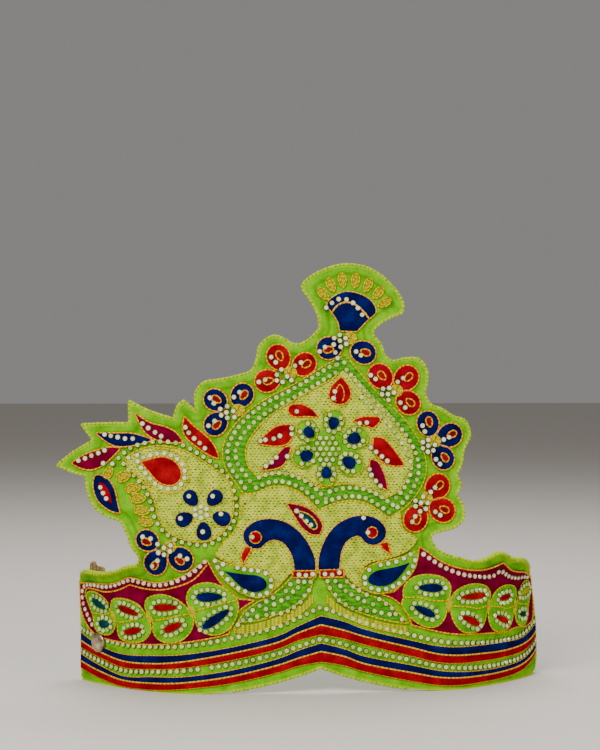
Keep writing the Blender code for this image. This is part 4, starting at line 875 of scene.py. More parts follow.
def couch_thread(name, runs, radius, material, step=0.7):
    """Lays threads along flat lines; each run is its line, whether it closes, and its lift."""
    places, faces, marks = [], [], []
    for line, closed, lift in runs:
        line = np.asarray(line, dtype=float)
        if closed:
            line = np.vstack([line, line[:1]])
        lengths = np.concatenate([[0], np.cumsum(np.linalg.norm(np.diff(line, axis=0), axis=1))])
        count = max(4, int(lengths[-1] / step))
        along = np.linspace(0, lengths[-1], count + 1)
        path = np.stack([np.interp(along, lengths, line[:, axis]) for axis in (0, 1)], axis=1)
        if closed:
            path, along = path[:-1], along[:-1]
            ahead = np.roll(path, -1, axis=0) - np.roll(path, 1, axis=0)
        else:
            ahead = np.gradient(path, axis=0)
        ahead /= np.maximum(np.linalg.norm(ahead, axis=1), 1e-6)[:, None]
        first = len(places)
        for ring, ((s, z), (ds, dz), run) in enumerate(zip(path, ahead, along)):
            for side in range(THREAD_SIDES):
                turn = 2 * math.pi * side / THREAD_SIDES
                ply = 1 + PLY_SWELL * math.cos(2 * (turn - 2 * math.pi * run / (2 * THREAD_PITCH)))
                out = radius * ply * math.cos(turn)
                up = radius * THREAD_FLAT * (1 + ply * math.sin(turn)) * THREAD_SUNK
                places.append((s - dz * out, z + ds * out, lift + up))
                marks.append((run, side / THREAD_SIDES))
        rings = len(path)
        for ring in range(rings if closed else rings - 1):
            here, there = first + ring * THREAD_SIDES, first + ((ring + 1) % rings) * THREAD_SIDES
            for side in range(THREAD_SIDES):
                other = (side + 1) % THREAD_SIDES
                faces.append((here + side, there + side, there + other, here + other))
        if not closed:
            last = first + (rings - 1) * THREAD_SIDES
            faces.append(tuple(first + side for side in range(THREAD_SIDES)))
            faces.append(tuple(last + side for side in reversed(range(THREAD_SIDES))))
    mesh = bpy.data.meshes.new(name)
    mesh.from_pydata(laid_on_form(places).tolist(), [], faces)
    mark_pattern(mesh, marks)
    piece = link_piece(name, mesh)
    mesh.materials.append(material)
    mesh.polygons.foreach_set("use_smooth", [True] * len(mesh.polygons))
    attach(piece, "root")
    return piece


def edge_run(knots, out, lift):
    """The run of a thread round a patch, a little outside its edge."""
    return moved_in(smooth_line(knots), -out), True, lift


gold = thread_cloth("gold_zari_thread", "#7c7000", "#b4a400", "#dcc800")
orange = thread_cloth("orange_zari_thread", "#a05000", "#dc8c00", "#f8bc04")
cream = thread_cloth("cream_rayon_thread", "#a05c00", "#dc9c0c", "#f4c838")
lime_thread = thread_cloth("lime_rayon_thread", "#6c8c00", "#98b400", "#b8d000")
# The heights of the top of a ground and of a patch on it, and of the thread round a patch on the
# base, round a ground, and round a patch on a ground.
GROUND_TOP = LAYER + 0.1
UPPER_TOP = UPPER_LAYER + 0.5
BASE_EDGE = 0.35
GROUND_EDGE = 0.5
PATCH_EDGE = UPPER_LAYER + 0.1
PANEL_INSET_LINE_LEFT = (
    (-118.9, 38.4), (-118.6, 41), (-116.4, 42.5), (-110.8, 42.5), (-104.4, 42), (-98.6, 42.6),
    (-93.6, 43.9), (-90, 45.5), (-87.9, 46.6), (-85.2, 46.1), (-81.6, 45.4), (-77.3, 45), (-73, 45),
    (-69, 45.4), (-65.1, 46.4), (-60, 48), (-55, 50.8), (-50, 56.6))

seams = [(stripe_line(column), False, GROUND_TOP - 0.1) for column in ("seam_low", "seam_up")]
couch_thread("stripe_seam_threads", seams, 0.34, cream)
stripe_edges = [(stripe_line(column), False, 0.3) for column in ("red_low", "red_up")]
couch_thread("stripe_edge_threads", stripe_edges, 0.3, cream)
blue_edges = [(stripe_line(column), False, 0.3) for column in ("blue_low", "blue_up")]
couch_thread("stripe_top_threads", blue_edges, 0.26, cream)

orange_runs = [(smooth_line(LEFT_PANEL), True, GROUND_EDGE), (smooth_line(RIGHT_PANEL), True, GROUND_EDGE),
               (smooth_line(PANEL_INSET_LINE_LEFT, closed=False), False, GROUND_TOP)]
# The gold line inside the medallion stops where the stones lie on the brocade.
start = int(np.argmin(np.abs(turn_about(medallion_in) - 80)))
medallion_edge = np.roll(medallion_in, -start, axis=0)
turns = turn_about(medallion_edge)
medallion_edge = medallion_edge[(turns > 80) | (turns < -28)]
gold_runs = [edge_run(PEACOCK_GROUND, 0.1, GROUND_EDGE), (medallion_edge, False, GROUND_TOP),
             (moved_in(medallion_out, -0.4), True, 0.3), (smooth_line(PAISLEY_GROUND), True, GROUND_TOP),
             (smooth_line(LEFT_TAIL), True, 0.4), (smooth_line(RIGHT_TAIL), True, 0.4)]
for knots in list(MEDALLION_LEAVES.values()) + [EYE_LEAF, PAISLEY_DROP]:
    orange_runs.append(edge_run(knots, 0.3, PATCH_EDGE))
for knots in LEAF_PAIRS.values():
    gold_runs.append(edge_run(knots, 0.3, PATCH_EDGE))
for knots in (LEFT_WING, RIGHT_WING):
    gold_runs.append((smooth_line(knots), True, UPPER_LAYER + 0.2))
drop_round = moved_in(smooth_line(PAISLEY_DROP), -3.9)
drop_round = drop_round[(drop_round[:, 0] > -72) | (drop_round[:, 1] < 94)]
gold_runs.append((drop_round, False, GROUND_TOP))
for knots in (*PLUME_LEAVES.values(), SIDE_LEAF):
    orange_runs.append(edge_run(knots, 0.3, BASE_EDGE))
for knots in BEAKS:
    orange_runs.append((smooth_line(knots, step=0.7), True, UPPER_LAYER + 0.2))
for places in BORDER_FLOWERS.values():
    for petal in places[1:]:
        orange_runs.append((moved_in(petal_line(places[0], petal), -0.25), True, BASE_EDGE))
for knots in SASH:
    orange_runs.append((smooth_line(knots), True, LAYER + 0.3))
couch_thread("orange_outline_threads", orange_runs, 0.34, orange)
couch_thread("gold_outline_threads", gold_runs, 0.36, gold)
necks = [edge_run(LEFT_PEACOCK, 0.2, UPPER_LAYER), edge_run(RIGHT_PEACOCK, 0.2, UPPER_LAYER),
         edge_run(FAN_PATCH, 0.2, 0.3)]
couch_thread("neck_outline_threads", necks, 0.3, cream)
crest_edge = smooth_line(LEFT_END + UPPER_EDGE + RIGHT_END, closed=False)
hem_edge = smooth_line(ARCH, closed=False)
overcast = [(line[line[:, 1] > 1.2], False, -0.5) for line in (crest_edge, hem_edge)]
couch_thread("edge_overcast_threads", overcast, 0.55, lime_thread)


# The stones.
# Small domed glass stones, 2.3 mm across, faceted, with a foil back that keeps them white.
# Each is glued by its flat back, in rows along the edges and scattered on the motifs.
STONE_RADIUS = 1.15
STONE_PITCH = 2.95
STONE_SIDES = 8
STONE_RINGS = (("radius_share", "height"), (0.94, 0.0), (1.0, 0.28), (0.78, 0.74), (0.42, 0.98))
# The ring of adhesive under each stone reaches out by this share of its radius; painted near black, it
# stands for the stone's shadow on the cloth.
SHADOW_AND_GLUE_RING = 1.16
# How far a stone is tipped at most, and its least and greatest size.
STONE_TIP = 0.06
STONE_SIZES = (0.96, 1.04)
# How close stones stand in a ring round a small patch.
RING_PITCH = 2.65


def cut_stone():
    """Models one stone, in millimetres, as a drum cut to facets above, on a thin wider ring of adhesive
    painted dark as its shadow.
    """
    bpy.ops.object.select_all(action="DESELECT")
    bpy.ops.mesh.primitive_cylinder_add(vertices=STONE_SIDES, radius=STONE_RADIUS, depth=0.28,
                                        location=(0, 0, 0.14), end_fill_type="NGON")
    piece = bpy.context.active_object
    bpy.ops.object.transform_apply(location=True)
    bpy.ops.object.mode_set(mode="EDIT")
    for (share, height), (before, low) in zip(STONE_RINGS[3:], STONE_RINGS[2:]):
        body = bmesh.from_edit_mesh(piece.data)
        for face in body.faces:
            face.select = face.normal.z > 0.9 and face.calc_center_median().z > low - 0.05
        bmesh.update_edit_mesh(piece.data)
        bpy.ops.mesh.extrude_region_move(TRANSFORM_OT_translate={"value": (0, 0, height - low)})
        bpy.ops.transform.resize(value=(share / before, share / before, 1))
        body = bmesh.from_edit_mesh(piece.data)
        body.normal_update()
    bpy.ops.object.mode_set(mode="OBJECT")
    corners = np.array([vert.co[:] for vert in piece.data.vertices])
    corners[corners[:, 2] < 0.05, :2] *= STONE_RINGS[1][0]
    facets = [tuple(face.vertices) for face in piece.data.polygons]
    bpy.data.objects.remove(piece, do_unlink=True)
    turns = np.arange(STONE_SIDES) * 2 * math.pi / STONE_SIDES
    shadow_and_glue = np.stack([np.cos(turns), np.sin(turns), turns * 0 + 0.05 / STONE_RADIUS], axis=1) * STONE_RADIUS
    shadow_and_glue[:, :2] *= SHADOW_AND_GLUE_RING
    facets.append(tuple(range(len(corners), len(corners) + STONE_SIDES)))
    corners = np.vstack([corners, shadow_and_glue])
    return corners, facets


def glass_stone(name, grey, plain, clear):
    """Foil-backed glass: pale, with the cloth below painted in as a reflection, glossy, a shade darker in
    some stones.
    """
    material, tree, shader = new_material(name)
    flat = add_node(tree, "ShaderNodeTexCoord").outputs["UV"]
    # A slow noise gives neighbouring stones their own tone.
    tone = add_node(tree, "ShaderNodeTexNoise", {"Vector": flat, "Scale": 0.31, "Detail": 1.0})
    colour = add_node(tree, "ShaderNodeValToRGB", {"Fac": tone.outputs["Fac"]},
                      ((0.3, grey), (0.5, plain), (0.7, clear)))
    # Painted light and shade by the reach from the middle: a painted highlight in the middle of the table,
    # greyer at its edge, pale facets round it, painted shade at the girdle, and the ring below it painted
    # near black as the stone's shadow.
    reach = add_node(tree, "ShaderNodeAttribute", attribute_name="reach").outputs["Fac"]
    cut = add_node(tree, "ShaderNodeValToRGB", {"Fac": reach},
                   ((0.2, "#fffff8"), (0.36, "#bcbc90"), (0.52, "#fffff0"), (0.70, "#d2d2ae"),
                    (0.79, "#5c5e34"), (0.86, "#1c2604")))
    shown = add_node(tree, "ShaderNodeMix", {0: 1.0, 6: colour.outputs["Color"], 7: cut.outputs["Color"]},
                     data_type="RGBA", blend_type="MULTIPLY")
    set_inputs(tree, shader, {"Base Color": shown.outputs[2], "Roughness": 0.16, "Coat Weight": 0.6,
                              "Coat Roughness": 0.05, "IOR": 1.6})
    return material


def set_stones(name, places, lift, *nodes, glass=None):
    """Glues one joined field of stones at flat places, each turned and seated a little unevenly."""
    draw = random.Random(name)
    every, faces, marks = [], [], []
    for s, z in places:
        turn = draw.uniform(0, math.pi)
        tip, roll = (draw.uniform(-STONE_TIP, STONE_TIP) for axis in range(2))
        size = draw.uniform(*STONE_SIZES)
        cos, sin = math.cos(turn) * size, math.sin(turn) * size
        first = len(every)
        for x, y, h in STONE_CORNERS:
            a, b = x * cos - y * sin, x * sin + y * cos
            every.append((s + a, z + b, lift + h + a * tip + b * roll))
            marks.append((s, z))
        faces.extend(tuple(first + corner for corner in facet) for facet in STONE_FACETS)
    mesh = bpy.data.meshes.new(name)
    mesh.from_pydata(laid_on_form(every).tolist(), [], faces)
    mark_pattern(mesh, marks)
    # How far each corner lies from its stone's middle; the glass paints its highlight and shade by it.
    reach = np.tile(np.hypot(STONE_CORNERS[:, 0], STONE_CORNERS[:, 1]) / STONE_RADIUS * 0.8, len(places))
    mesh.attributes.new("reach", "FLOAT", "POINT").data.foreach_set("value", reach.astype(np.float32))
    piece = link_piece(name, mesh)
    mesh.materials.append(glass or white_glass)
    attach(piece, "root")
    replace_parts(piece, *nodes)
    return piece


def stone_places(line, pitch=STONE_PITCH, closed=False):
    """Even places along a line, a stone apart."""
    line = np.vstack([line, line[:1]]) if closed else np.asarray(line)
    lengths = np.concatenate([[0], np.cumsum(np.linalg.norm(np.diff(line, axis=0), axis=1))])
    count = max(1, round(lengths[-1] / pitch))
    along = np.linspace(0, lengths[-1], count + 1)[:count if closed else count + 1]
    return np.stack([np.interp(along, lengths, line[:, axis]) for axis in (0, 1)], axis=1)


def kept_apart(places, apart=2.35):
    """Leaves out each place that would overlap one before it."""
    kept = []
    for place in places:
        if all(math.hypot(place[0] - other[0], place[1] - other[1]) >= apart for other in kept):
            kept.append(tuple(place))
    return kept


STONE_CORNERS, STONE_FACETS = cut_stone()
white_glass = glass_stone("foil_backed_glass", "#d4d8a8", "#f8f8d8", "#fffff4")
# Painted reflection: the green or the maroon of the cloth round the stones is painted into the colour of
# their clear edge.
green_glass = glass_stone("foil_backed_glass_on_green", "#a0b85c", "#cce080", "#ecf8a8")
warm_glass = glass_stone("foil_backed_glass_on_maroon", "#d8b8a0", "#fcdccc", "#fff0e8")
LOWER_ROW_GAP = (-53.3, -49.8)
lower_row = [place for place in stone_places(stripe_line("stones_low"), 3.05)
             if not LOWER_ROW_GAP[0] < place[0] < LOWER_ROW_GAP[1]]
set_stones("stones_band_lower_set", lower_row, 0.12, "stones_band_lower", glass=green_glass)
upper_row = [place for place in stone_places(stripe_line("stones_up"), 3.15)
             if place[0] < -113.8 or place[0] > -102.2]
set_stones("stones_band_upper_set", upper_row, 0.12, "stones_band_upper", glass=green_glass)

LEFT_PANEL_ROW = (
    (-112.8, 26.4), (-116.4, 30), (-120.2, 34.6), (-121.5, 39.6), (-119.3, 43.2), (-113, 44.4),
    (-104, 44.2), (-97, 45.6), (-92, 47.8), (-87.5, 49.2), (-82, 48.3), (-75, 47.2), (-68, 47.9),
    (-62, 50), (-56, 53.5), (-51, 58))
RIGHT_PANEL_ROW = (
    (46, 60.5), (51.5, 56.8), (57.5, 53.5), (64, 51.2), (70, 50.2), (76, 49.5), (81, 49.6), (84, 50.3),
    (86, 52), (90, 50.3), (95, 48.2), (101, 47), (106, 47), (111, 46.4))
PAISLEY_ROW = (
    (-89, 103.5, 1), (-82.5, 108.5), (-72.5, 110.7), (-62, 109.7), (-52.5, 104.7), (-45, 99.3),
    (-40.5, 94.5), (-37.6, 87), (-37, 80), (-39.5, 73.3), (-44, 68.4), (-50, 65.3), (-57, 65.8),
    (-63.5, 67.4), (-69, 71.2), (-72.9, 77), (-75.3, 85.5), (-78.5, 91.5), (-82.7, 96.3))
# How far each row lies inside the medallion's edge, by the turn in degrees about its middle.
MEDALLION_ROWS = {
    "stones_medallion_outer": (
        (-180, 1.8), (-100, 1.5), (-45, 1.5), (-20, 3.0), (0, 3.5), (75, 3.4), (88, 1.2), (140, 1.2),
        (180, 1.8)),
    "stones_medallion_inner": (
        (-180, 5.3), (-90, 5.2), (-45, 5.2), (-20, 6.5), (10, 7.0), (35, 6.4), (60, 6.2), (88, 4.6),
        (140, 4.8), (180, 5.3)),
}
INNER_ROW_GAP = (56, 82)

set_stones("stones_panel_left_set", stone_places(smooth_line(LEFT_PANEL_ROW, False)), GROUND_TOP,
           "stones_panel_left", glass=warm_glass)
set_stones("stones_panel_right_set", stone_places(smooth_line(RIGHT_PANEL_ROW, False)), GROUND_TOP,
           "stones_panel_right", glass=warm_glass)
paisley_row = stone_places(smooth_line(PAISLEY_ROW), 3.4, closed=True)
drop_row = stone_places(moved_in(smooth_line(PAISLEY_DROP), -1.8), 3.1, closed=True)
set_stones("stones_paisley_set", paisley_row, 0.35, "stones_paisley", glass=green_glass)
for name, insets in MEDALLION_ROWS.items():
    inset = np.interp(turn_about(medallion_out), *np.array(insets).T)[:, None]
    places = stone_places(moved_in(medallion_out, inset), 3.05, closed=True)
    if name == "stones_medallion_inner":
        turns = turn_about(places)
        places = places[(turns < INNER_ROW_GAP[0]) | (turns > INNER_ROW_GAP[1])]
    set_stones(name + "_set", kept_apart(places), GROUND_TOP, name, glass=green_glass)
set_stones("stones_drop_set", drop_row, GROUND_TOP, "stones_drop")

almond_stones = []
for almond in ALMONDS:
    ring = moved_in(almond_line(*almond[:3], 40), -1.3)
    almond_stones.extend(stone_places(ring, RING_PITCH, closed=True))
set_stones("stones_leaf_pairs", kept_apart(almond_stones, 2.15), UPPER_LAYER + 0.62, glass=green_glass)

# The gold thread that parts the two leaves of each pair.
DIVIDERS = (
    ((-55.6, 36.4), (-50, 38), (-44, 39.6), (-37.2, 41.2)),
    ((-75, 31.6), (-69, 32.4), (-63.4, 34), (-57.9, 35.2)),
    ((-95.2, 29.4), (-90, 29.8), (-84.5, 31.4), (-79.8, 34)),
    ((-111.8, 31.4), (-108, 32), (-103.5, 31.8), (-99.8, 32.8)),
    ((56.4, 39.8), (50, 40), (43, 41.6), (37.4, 41.6)),
    ((78.8, 36.6), (72.5, 35.4), (66, 36.6), (59, 37.4)),
    ((98, 34.6), (92.4, 33.6), (87, 34.8), (80.4, 35.6)),
    ((111.4, 33), (107.6, 34.2), (104.4, 34.4), (101, 35)))
dividers = [(smooth_line(knots, False), False, UPPER_LAYER + 0.6) for knots in DIVIDERS]
couch_thread("leaf_divider_threads", dividers, 0.36, gold)


# The stones and threads on the medallion and its flower.
# Stones are packed in the flower's middle and run round each heart; each leaf carries a
# short row, glued along its rib.
PACKED_PITCH = 2.75
PACKED_REACH = 6.3
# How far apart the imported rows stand, as a share of the pitch in a row.
ROW_SHARE = 0.87
MEDALLION_STONES = (
    (-26.4, 111.1), (-24.2, 111.5), (-20.5, 112), (-17.8, 113.2), (-12.6, 116.6), (-12.6, 114),
    (-24, 100), (-21.5, 101.7), (-19.4, 103.8), (-14.6, 104.2), (-10.3, 124), (6.6, 132.8), (6, 129.8),
    (17.5, 118.7), (20.7, 119), (22.4, 108), (24.8, 106), (27.4, 104), (29.8, 102), (21.8, 98.4),
    (22.6, 95.8), (24.6, 93.2), (26.6, 90.9))
# The thread loop on the top leaf.
TOP_LEAF_LOOP = (
    (7, 128.3), (6.8, 131.2), (7.6, 134.3), (8.9, 136), (10.2, 134.3), (10.8, 131.2), (10, 128.6))
EYE_STONES = ((-10.6, 80.2), (-8.5, 78), (-6.3, 75.7), (-4.3, 74.0))


def packed_places(middle, reach, pitch):
    """Places packed in rows, a stone apart, inside a circle."""
    places = []
    rows = int(reach / (pitch * ROW_SHARE)) + 1
    for row in range(-rows, rows + 1):
        for index in range(-rows - 1, rows + 2):
            s, z = (index + 0.5 * (row % 2)) * pitch, row * pitch * ROW_SHARE
            if math.hypot(s, z) <= reach:
                places.append((middle[0] + s, middle[1] + z))
    return places


flower_stones = packed_places(CENTRE_FLOWER[0], PACKED_REACH, PACKED_PITCH)
for petal in CENTRE_FLOWER[1]:
    ring = moved_in(smooth_line(heart_line(CENTRE_FLOWER[0], petal, HEART_SHARE)[::2]), -1.35)
    petal_middle = np.array(petal[:2])
    out = (petal_middle - CENTRE_FLOWER[0]) / np.linalg.norm(petal_middle - CENTRE_FLOWER[0])
    places = stone_places(ring, RING_PITCH, closed=True)
    flower_stones.extend(place for place in places if (place - petal_middle) @ out < petal[2] * 0.5)
set_stones("stones_centre_flower", kept_apart(flower_stones), UPPER_LAYER + 0.62, glass=green_glass)
set_stones("stones_medallion_leaves", MEDALLION_STONES, UPPER_LAYER + 0.85)
set_stones("stones_eye_leaf", EYE_STONES, UPPER_LAYER + 0.9)
petal_edges = [(moved_in(heart_line(CENTRE_FLOWER[0], petal, 1.0), 0.2), True, UPPER_LAYER + 0.5)
               for petal in CENTRE_FLOWER[1]]
couch_thread("centre_flower_threads", petal_edges, 0.3, gold)
leaf_loops = [(smooth_line(TOP_LEAF_LOOP, False), False, UPPER_LAYER + 0.45),
              (smooth_line(EYE_HEART), True, UPPER_TOP + 0.5)]
couch_thread("leaf_loop_threads", leaf_loops, 0.3, cream)


# The details of the peacocks.
# Stones ring the wing drops and lie in rows on the satin tails; each eye is a ring of
# thread round a stone; two couched gold threads run below the tails.
LEFT_WING_STONES = (
    (-46.5, 58.5), (-45.3, 55.7), (-43.5, 53), (-41, 50.4), (-38.8, 48.3), (-36.3, 46.5), (-33.3, 45.1),
    (-30, 43.7), (-26.8, 43.5), (-23.8, 44.4), (-22, 47.2), (-22, 50), (-24.3, 53), (-27.6, 54.1),
    (-30.6, 54.4), (-33.7, 54.8), (-36.6, 55.5), (-43, 57))
RIGHT_WING_STONES = (
    (42, 58), (41, 55.3), (39, 52.5), (37, 50.2), (34.7, 47.9), (32, 46.6), (29, 45.5), (25.6, 45.2),
    (22.4, 46), (19.6, 48), (19.5, 50.7), (21.5, 54), (26.6, 56.1), (30, 56.7), (33.6, 57.5), (37, 58.9),
    (40, 60.6))
LEFT_TAIL_STONES = (
    (-10, 49.2), (-7.3, 49), (-4.5, 49), (-10, 46.6), (-13.4, 48), (-12.3, 44.8), (-15.4, 45.1),
    (-5.2, 45.3), (-7.2, 43), (-14.6, 42.1), (-9, 40.2), (-17.4, 41), (-21, 42.2), (-11.9, 38),
    (-20.6, 39.3), (-24, 40.6), (-14.6, 36.4), (-17.6, 35.4), (-21, 35.2), (-24, 34.7), (-27, 38.7),
    (-24.2, 37.3), (-30, 36.8), (-28, 34), (-32.3, 35), (-31, 32.5), (-34.3, 32.4), (-36.5, 30.5))
RIGHT_TAIL_STONES = (
    (6.5, 49.2), (8.7, 47), (11.6, 49), (14.4, 46.8), (11, 44.9), (17, 45), (13.6, 43.2), (6.4, 43.2),
    (8.1, 40.8), (16.5, 41.5), (20.4, 43), (11, 38.9), (19.3, 40.2), (14, 37.2), (23.2, 38.8), (26, 41),
    (17.5, 36.8), (20.5, 36), (23.8, 35.8), (26.9, 35), (29, 39), (31.6, 37), (30.5, 34.3), (33.2, 34.4),
    (36, 32), (3, 49.2), (4, 46.2))
SASH_STONES = ((-9.6, 52.2), (-6.6, 51.9), (-3.6, 52.4), (1.8, 52.4), (5, 52), (8.2, 53))
EYES = (((-28.7, 68.7), 2.6, (-30.1, 68.9)), ((22.8, 70.5), 2.4, (20.9, 70.5)))
UNDER_TAILS = (
    ((-38.5, 30), (-32, 29.8), (-24, 31.6), (-15, 35), (-8, 38.7), (-3.4, 43)),
    ((2.6, 43), (7, 39), (13.5, 35), (22, 31.8), (31, 29.6), (39, 28.4)))
set_stones("stones_wing_left", LEFT_WING_STONES, UPPER_LAYER + 0.55)
set_stones("stones_wing_right", RIGHT_WING_STONES, UPPER_LAYER + 0.55)
set_stones("stones_tail_left", LEFT_TAIL_STONES, 0.78, glass=green_glass)
set_stones("stones_tail_right", RIGHT_TAIL_STONES, 0.78, glass=green_glass)
set_stones("stones_sash", SASH_STONES, LAYER + 0.68)
set_stones("stones_peacock_heads", [eye[2] for eye in EYES] + [(19, 77)], UPPER_TOP + 0.35)


def circle_line(middle, radius, steps=20):
    """A round line."""
    turns = np.arange(steps) * 2 * math.pi / steps
    return np.stack([middle[0] + radius * np.cos(turns), middle[1] + radius * np.sin(turns)], axis=1)


eye_lines = [circle_line(middle, radius) for middle, radius, place in EYES]
sew_cloth("peacock_eyes", eye_lines, UPPER_TOP + 0.35, 0.3, 0.15, scarlet,
          pitch=1.0)
eye_runs = [(line, True, UPPER_TOP + 0.3) for line in eye_lines]
couch_thread("eye_threads", eye_runs, 0.28, orange)
under_tails = [smooth_line(knots, False) for knots in UNDER_TAILS]
for name, thread, drops in (("under_tail_gold_threads", gold, (0, 1.5, 3.0)),
                            ("under_tail_lime_threads", lime_thread, (0.75, 2.25))):
    runs = [(line - np.array([0, drop]), False, CLEAR) for line in under_tails for drop in drops]
    couch_thread(name, runs, 0.38, thread)


# The details of the paisley and its plume.
# Gold loops fill the band inside the paisley's left edge; the leaves, the flower and the
# drop carry their own stones.
PLUME_STONES = (
    (-107, 102.2), (-104, 103.2), (-101.1, 104.4), (-98, 105.6), (-95.2, 106.8), (-95.8, 101.1),
    (-95.2, 113.8), (-92.4, 113.2), (-89.3, 112.6), (-86, 112), (-82.6, 112), (-78.3, 118.6),
    (-75.7, 116.7), (-72.7, 114.8), (-70, 113.1), (-59.4, 117), (-57.9, 114.6), (-55.5, 112.1),
    (-53.1, 110.1), (-50.8, 107.8), (-97, 90.5), (-95.8, 88), (-94.4, 85.6))
PAISLEY_FLOWER_STONES = (
    (-52.7, 79.8), (-52.6, 82.2), (-55.2, 81), (-55, 78.5), (-52.5, 77.3), (-50, 78.5), (-50.1, 81.2))
PETAL_STONES = ((-57.8, 86.8), (-47.4, 86.8), (-43.8, 79), (-51.8, 71.2), (-61.5, 77.1))
# Each loop of thread: its middle, its lean in degrees, its length and its width.
PAISLEY_LOOPS = (
    ((-93.6, 97), 55, 5.6, 4.2),
    ((-86.8, 95.4), 25, 6.8, 5.2),
    ((-82.5, 90.2), 10, 6.8, 5.0),
    ((-80.4, 85.7), 2, 6.8, 4.8),
    ((-78.6, 80.4), -6, 6.8, 4.8),
    ((-76.9, 75.5), -14, 6.4, 4.8))
PAISLEY_EXTRA_STONES = (
    (-84.5, 103.6), (-80.6, 104.8), (-88.3, 101.7), (-85.6, 98.3), (-82.2, 96.2), (-81.2, 101.7),
    (-78.9, 99.1), (-94.6, 100.9), (-91.7, 100.9))


def loop_lines(loops, shares=(1.0, 0.5)):
    """Nested turns for each loop of thread, round at one end and narrow at the other."""
    lines = []
    for middle, lean, length, width in loops:
        out = np.array([math.cos(math.radians(lean)), math.sin(math.radians(lean))])
        for share in shares:
            half = out * length * share / 2
            lines.append(almond_line(np.array(middle) - half, np.array(middle) + half, width * share / 2))
    return lines


def sew_loops(name, loops):
    """Loops of gold thread round a filling of flat satin stitch."""
    sew_cloth(name + "_filling", loop_lines(loops, (0.95,)), CLEAR, 0.3, 0.2, gold_satin,
              pitch=1.0)
    runs = [(line, True, BASE_EDGE) for line in loop_lines(loops)]
    couch_thread(name + "_threads", runs, 0.36, gold)


gold_satin = satin_cloth("gold_satin_stitch", "#887c00", "#b0a000", "#ccb800")
set_stones("stones_plume", PLUME_STONES, 0.98)
placed = [*paisley_row, *drop_row, *PLUME_STONES]
free = kept_apart(placed + list(PAISLEY_EXTRA_STONES), 2.2)
set_stones("stones_paisley_tip", [place for place in PAISLEY_EXTRA_STONES if place in free], GROUND_TOP)
set_stones("stones_paisley_flower", PAISLEY_FLOWER_STONES, GROUND_TOP)
set_stones("stones_paisley_petals", PETAL_STONES, UPPER_TOP + 0.35)
sew_loops("paisley_loop", PAISLEY_LOOPS)
petal_lines = [(moved_in(petal, -0.15), True, UPPER_LAYER) for petal in petals]
couch_thread("paisley_petal_threads", petal_lines, 0.28, gold)


# The details of the border flowers.
# Each petal holds a loop of thread round a brown-red heart, with two stones beside it. The
# middle of each flower is a coil of gold thread and a cluster of stones.
COIL_REACH = 2.7
COIL_PITCH = 0.75
# For each flower: the middle of its coil of thread, then its stones.
FLOWER_STONES = {
    "border_flower_1": (
        (-66.2, 64.4), (-78.2, 68.9), (-74.7, 68.1), (-74.4, 56.4), (-71.8, 58.7), (-61.8, 60.6),
        (-58.7, 59.3), (-68.8, 64.2), (-65.9, 65.2), (-71.3, 62.2), (-68.8, 61.3), (-66.2, 62.7),
        (-71.6, 65.7)),
    "border_flower_2": (
        (-36, 124.4), (-48.5, 130), (-46.8, 127.6), (-46.5, 119.8), (-49.2, 117.7), (-35.5, 132.5),
        (-38, 130.3), (-44, 125.1), (-43.6, 122.3), (-40.9, 126.3), (-40.9, 121.2), (-38.3, 124.2),
        (-37.8, 121.5), (-41.3, 123.6)),
    "border_flower_3": (
        (-12.8, 141), (-21.5, 148), (-19.5, 145.7), (-8.3, 145.6), (-11, 144.2), (-24.2, 138), (-27, 137),
        (-17, 142.5), (-14.5, 139.5), (-16.5, 137), (-19, 140.2), (-12.6, 137.8), (-19.1, 137.7)),
    "border_flower_4": (
        (14, 156.3), (2.4, 152.5), (0, 150.5), (16.3, 150.5), (18.4, 148.8), (6.5, 156.5), (9, 157.9),
        (9.1, 155.3), (11.6, 156.5), (11.9, 153.9), (9.4, 152.6), (7, 150.1), (6.3, 153.6), (8, 147.6)),
    "border_flower_5": (
        (34.6, 133), (22.7, 140), (24.9, 138.3), (37.3, 138.7), (34.8, 137), (36, 127.8), (38.2, 125.6),
        (28.2, 134), (31, 134.3), (30.4, 131.6), (27.7, 131.5), (33.1, 132.3), (30.6, 129)),
    "border_flower_6": (
        (51.8, 110.4), (46, 117.5), (47, 114.9), (55.6, 111.3), (58, 112.3), (52, 102.5), (53.8, 100.4),
        (46, 110.2), (48.5, 111.2), (48.5, 108.6), (46, 107.5), (51.5, 109), (50.8, 106.5),
        (48.3, 105.9)),
    "border_flower_7": (
        (47.8, 85), (51.5, 90), (49.5, 88), (51.5, 79.2), (53.7, 77.7), (42.3, 77.3), (41, 74.9),
        (44.6, 79.5), (42.5, 84.3), (42.5, 81.8), (45, 83.3), (46, 86), (48, 83.2), (47.2, 80.6)),
}
petal_hearts, petal_loops, petal_stones, coils = [], [], [], []
for name, places in BORDER_FLOWERS.items():
    middle = np.array(places[0])
    own = np.array(FLOWER_STONES[name][1:])
    petal_stones.extend(own)
    for petal in places[1:]:
        centre = np.array(petal[:2])
        out = (centre - middle) / np.linalg.norm(centre - middle)
        nearest = own[np.argsort(np.hypot(*(own - centre).T))[:2]].mean(axis=0)
        away = (centre - nearest) / max(np.linalg.norm(centre - nearest), 1.0)
        loop_middle = centre + away * 0.7
        loop = almond_line(loop_middle + out * 2.1, loop_middle - out * 2.5, 1.75, 24)
        petal_hearts.append(loop)
        petal_loops.append((loop, True, 1.15))
    turns = np.linspace(0, 2 * math.pi * COIL_REACH / COIL_PITCH, 70)
    reach = turns * COIL_PITCH / (2 * math.pi) + 0.2
    s, z = FLOWER_STONES[name][0]
    coil = np.stack([s + reach * np.cos(turns), z + reach * np.sin(turns)], axis=1)
    coils.append((coil, False, 0.5))
brown_red = velvet("brown_red_cotton_velvet", "#3c0400", "#7c0c04", "#9c1808")
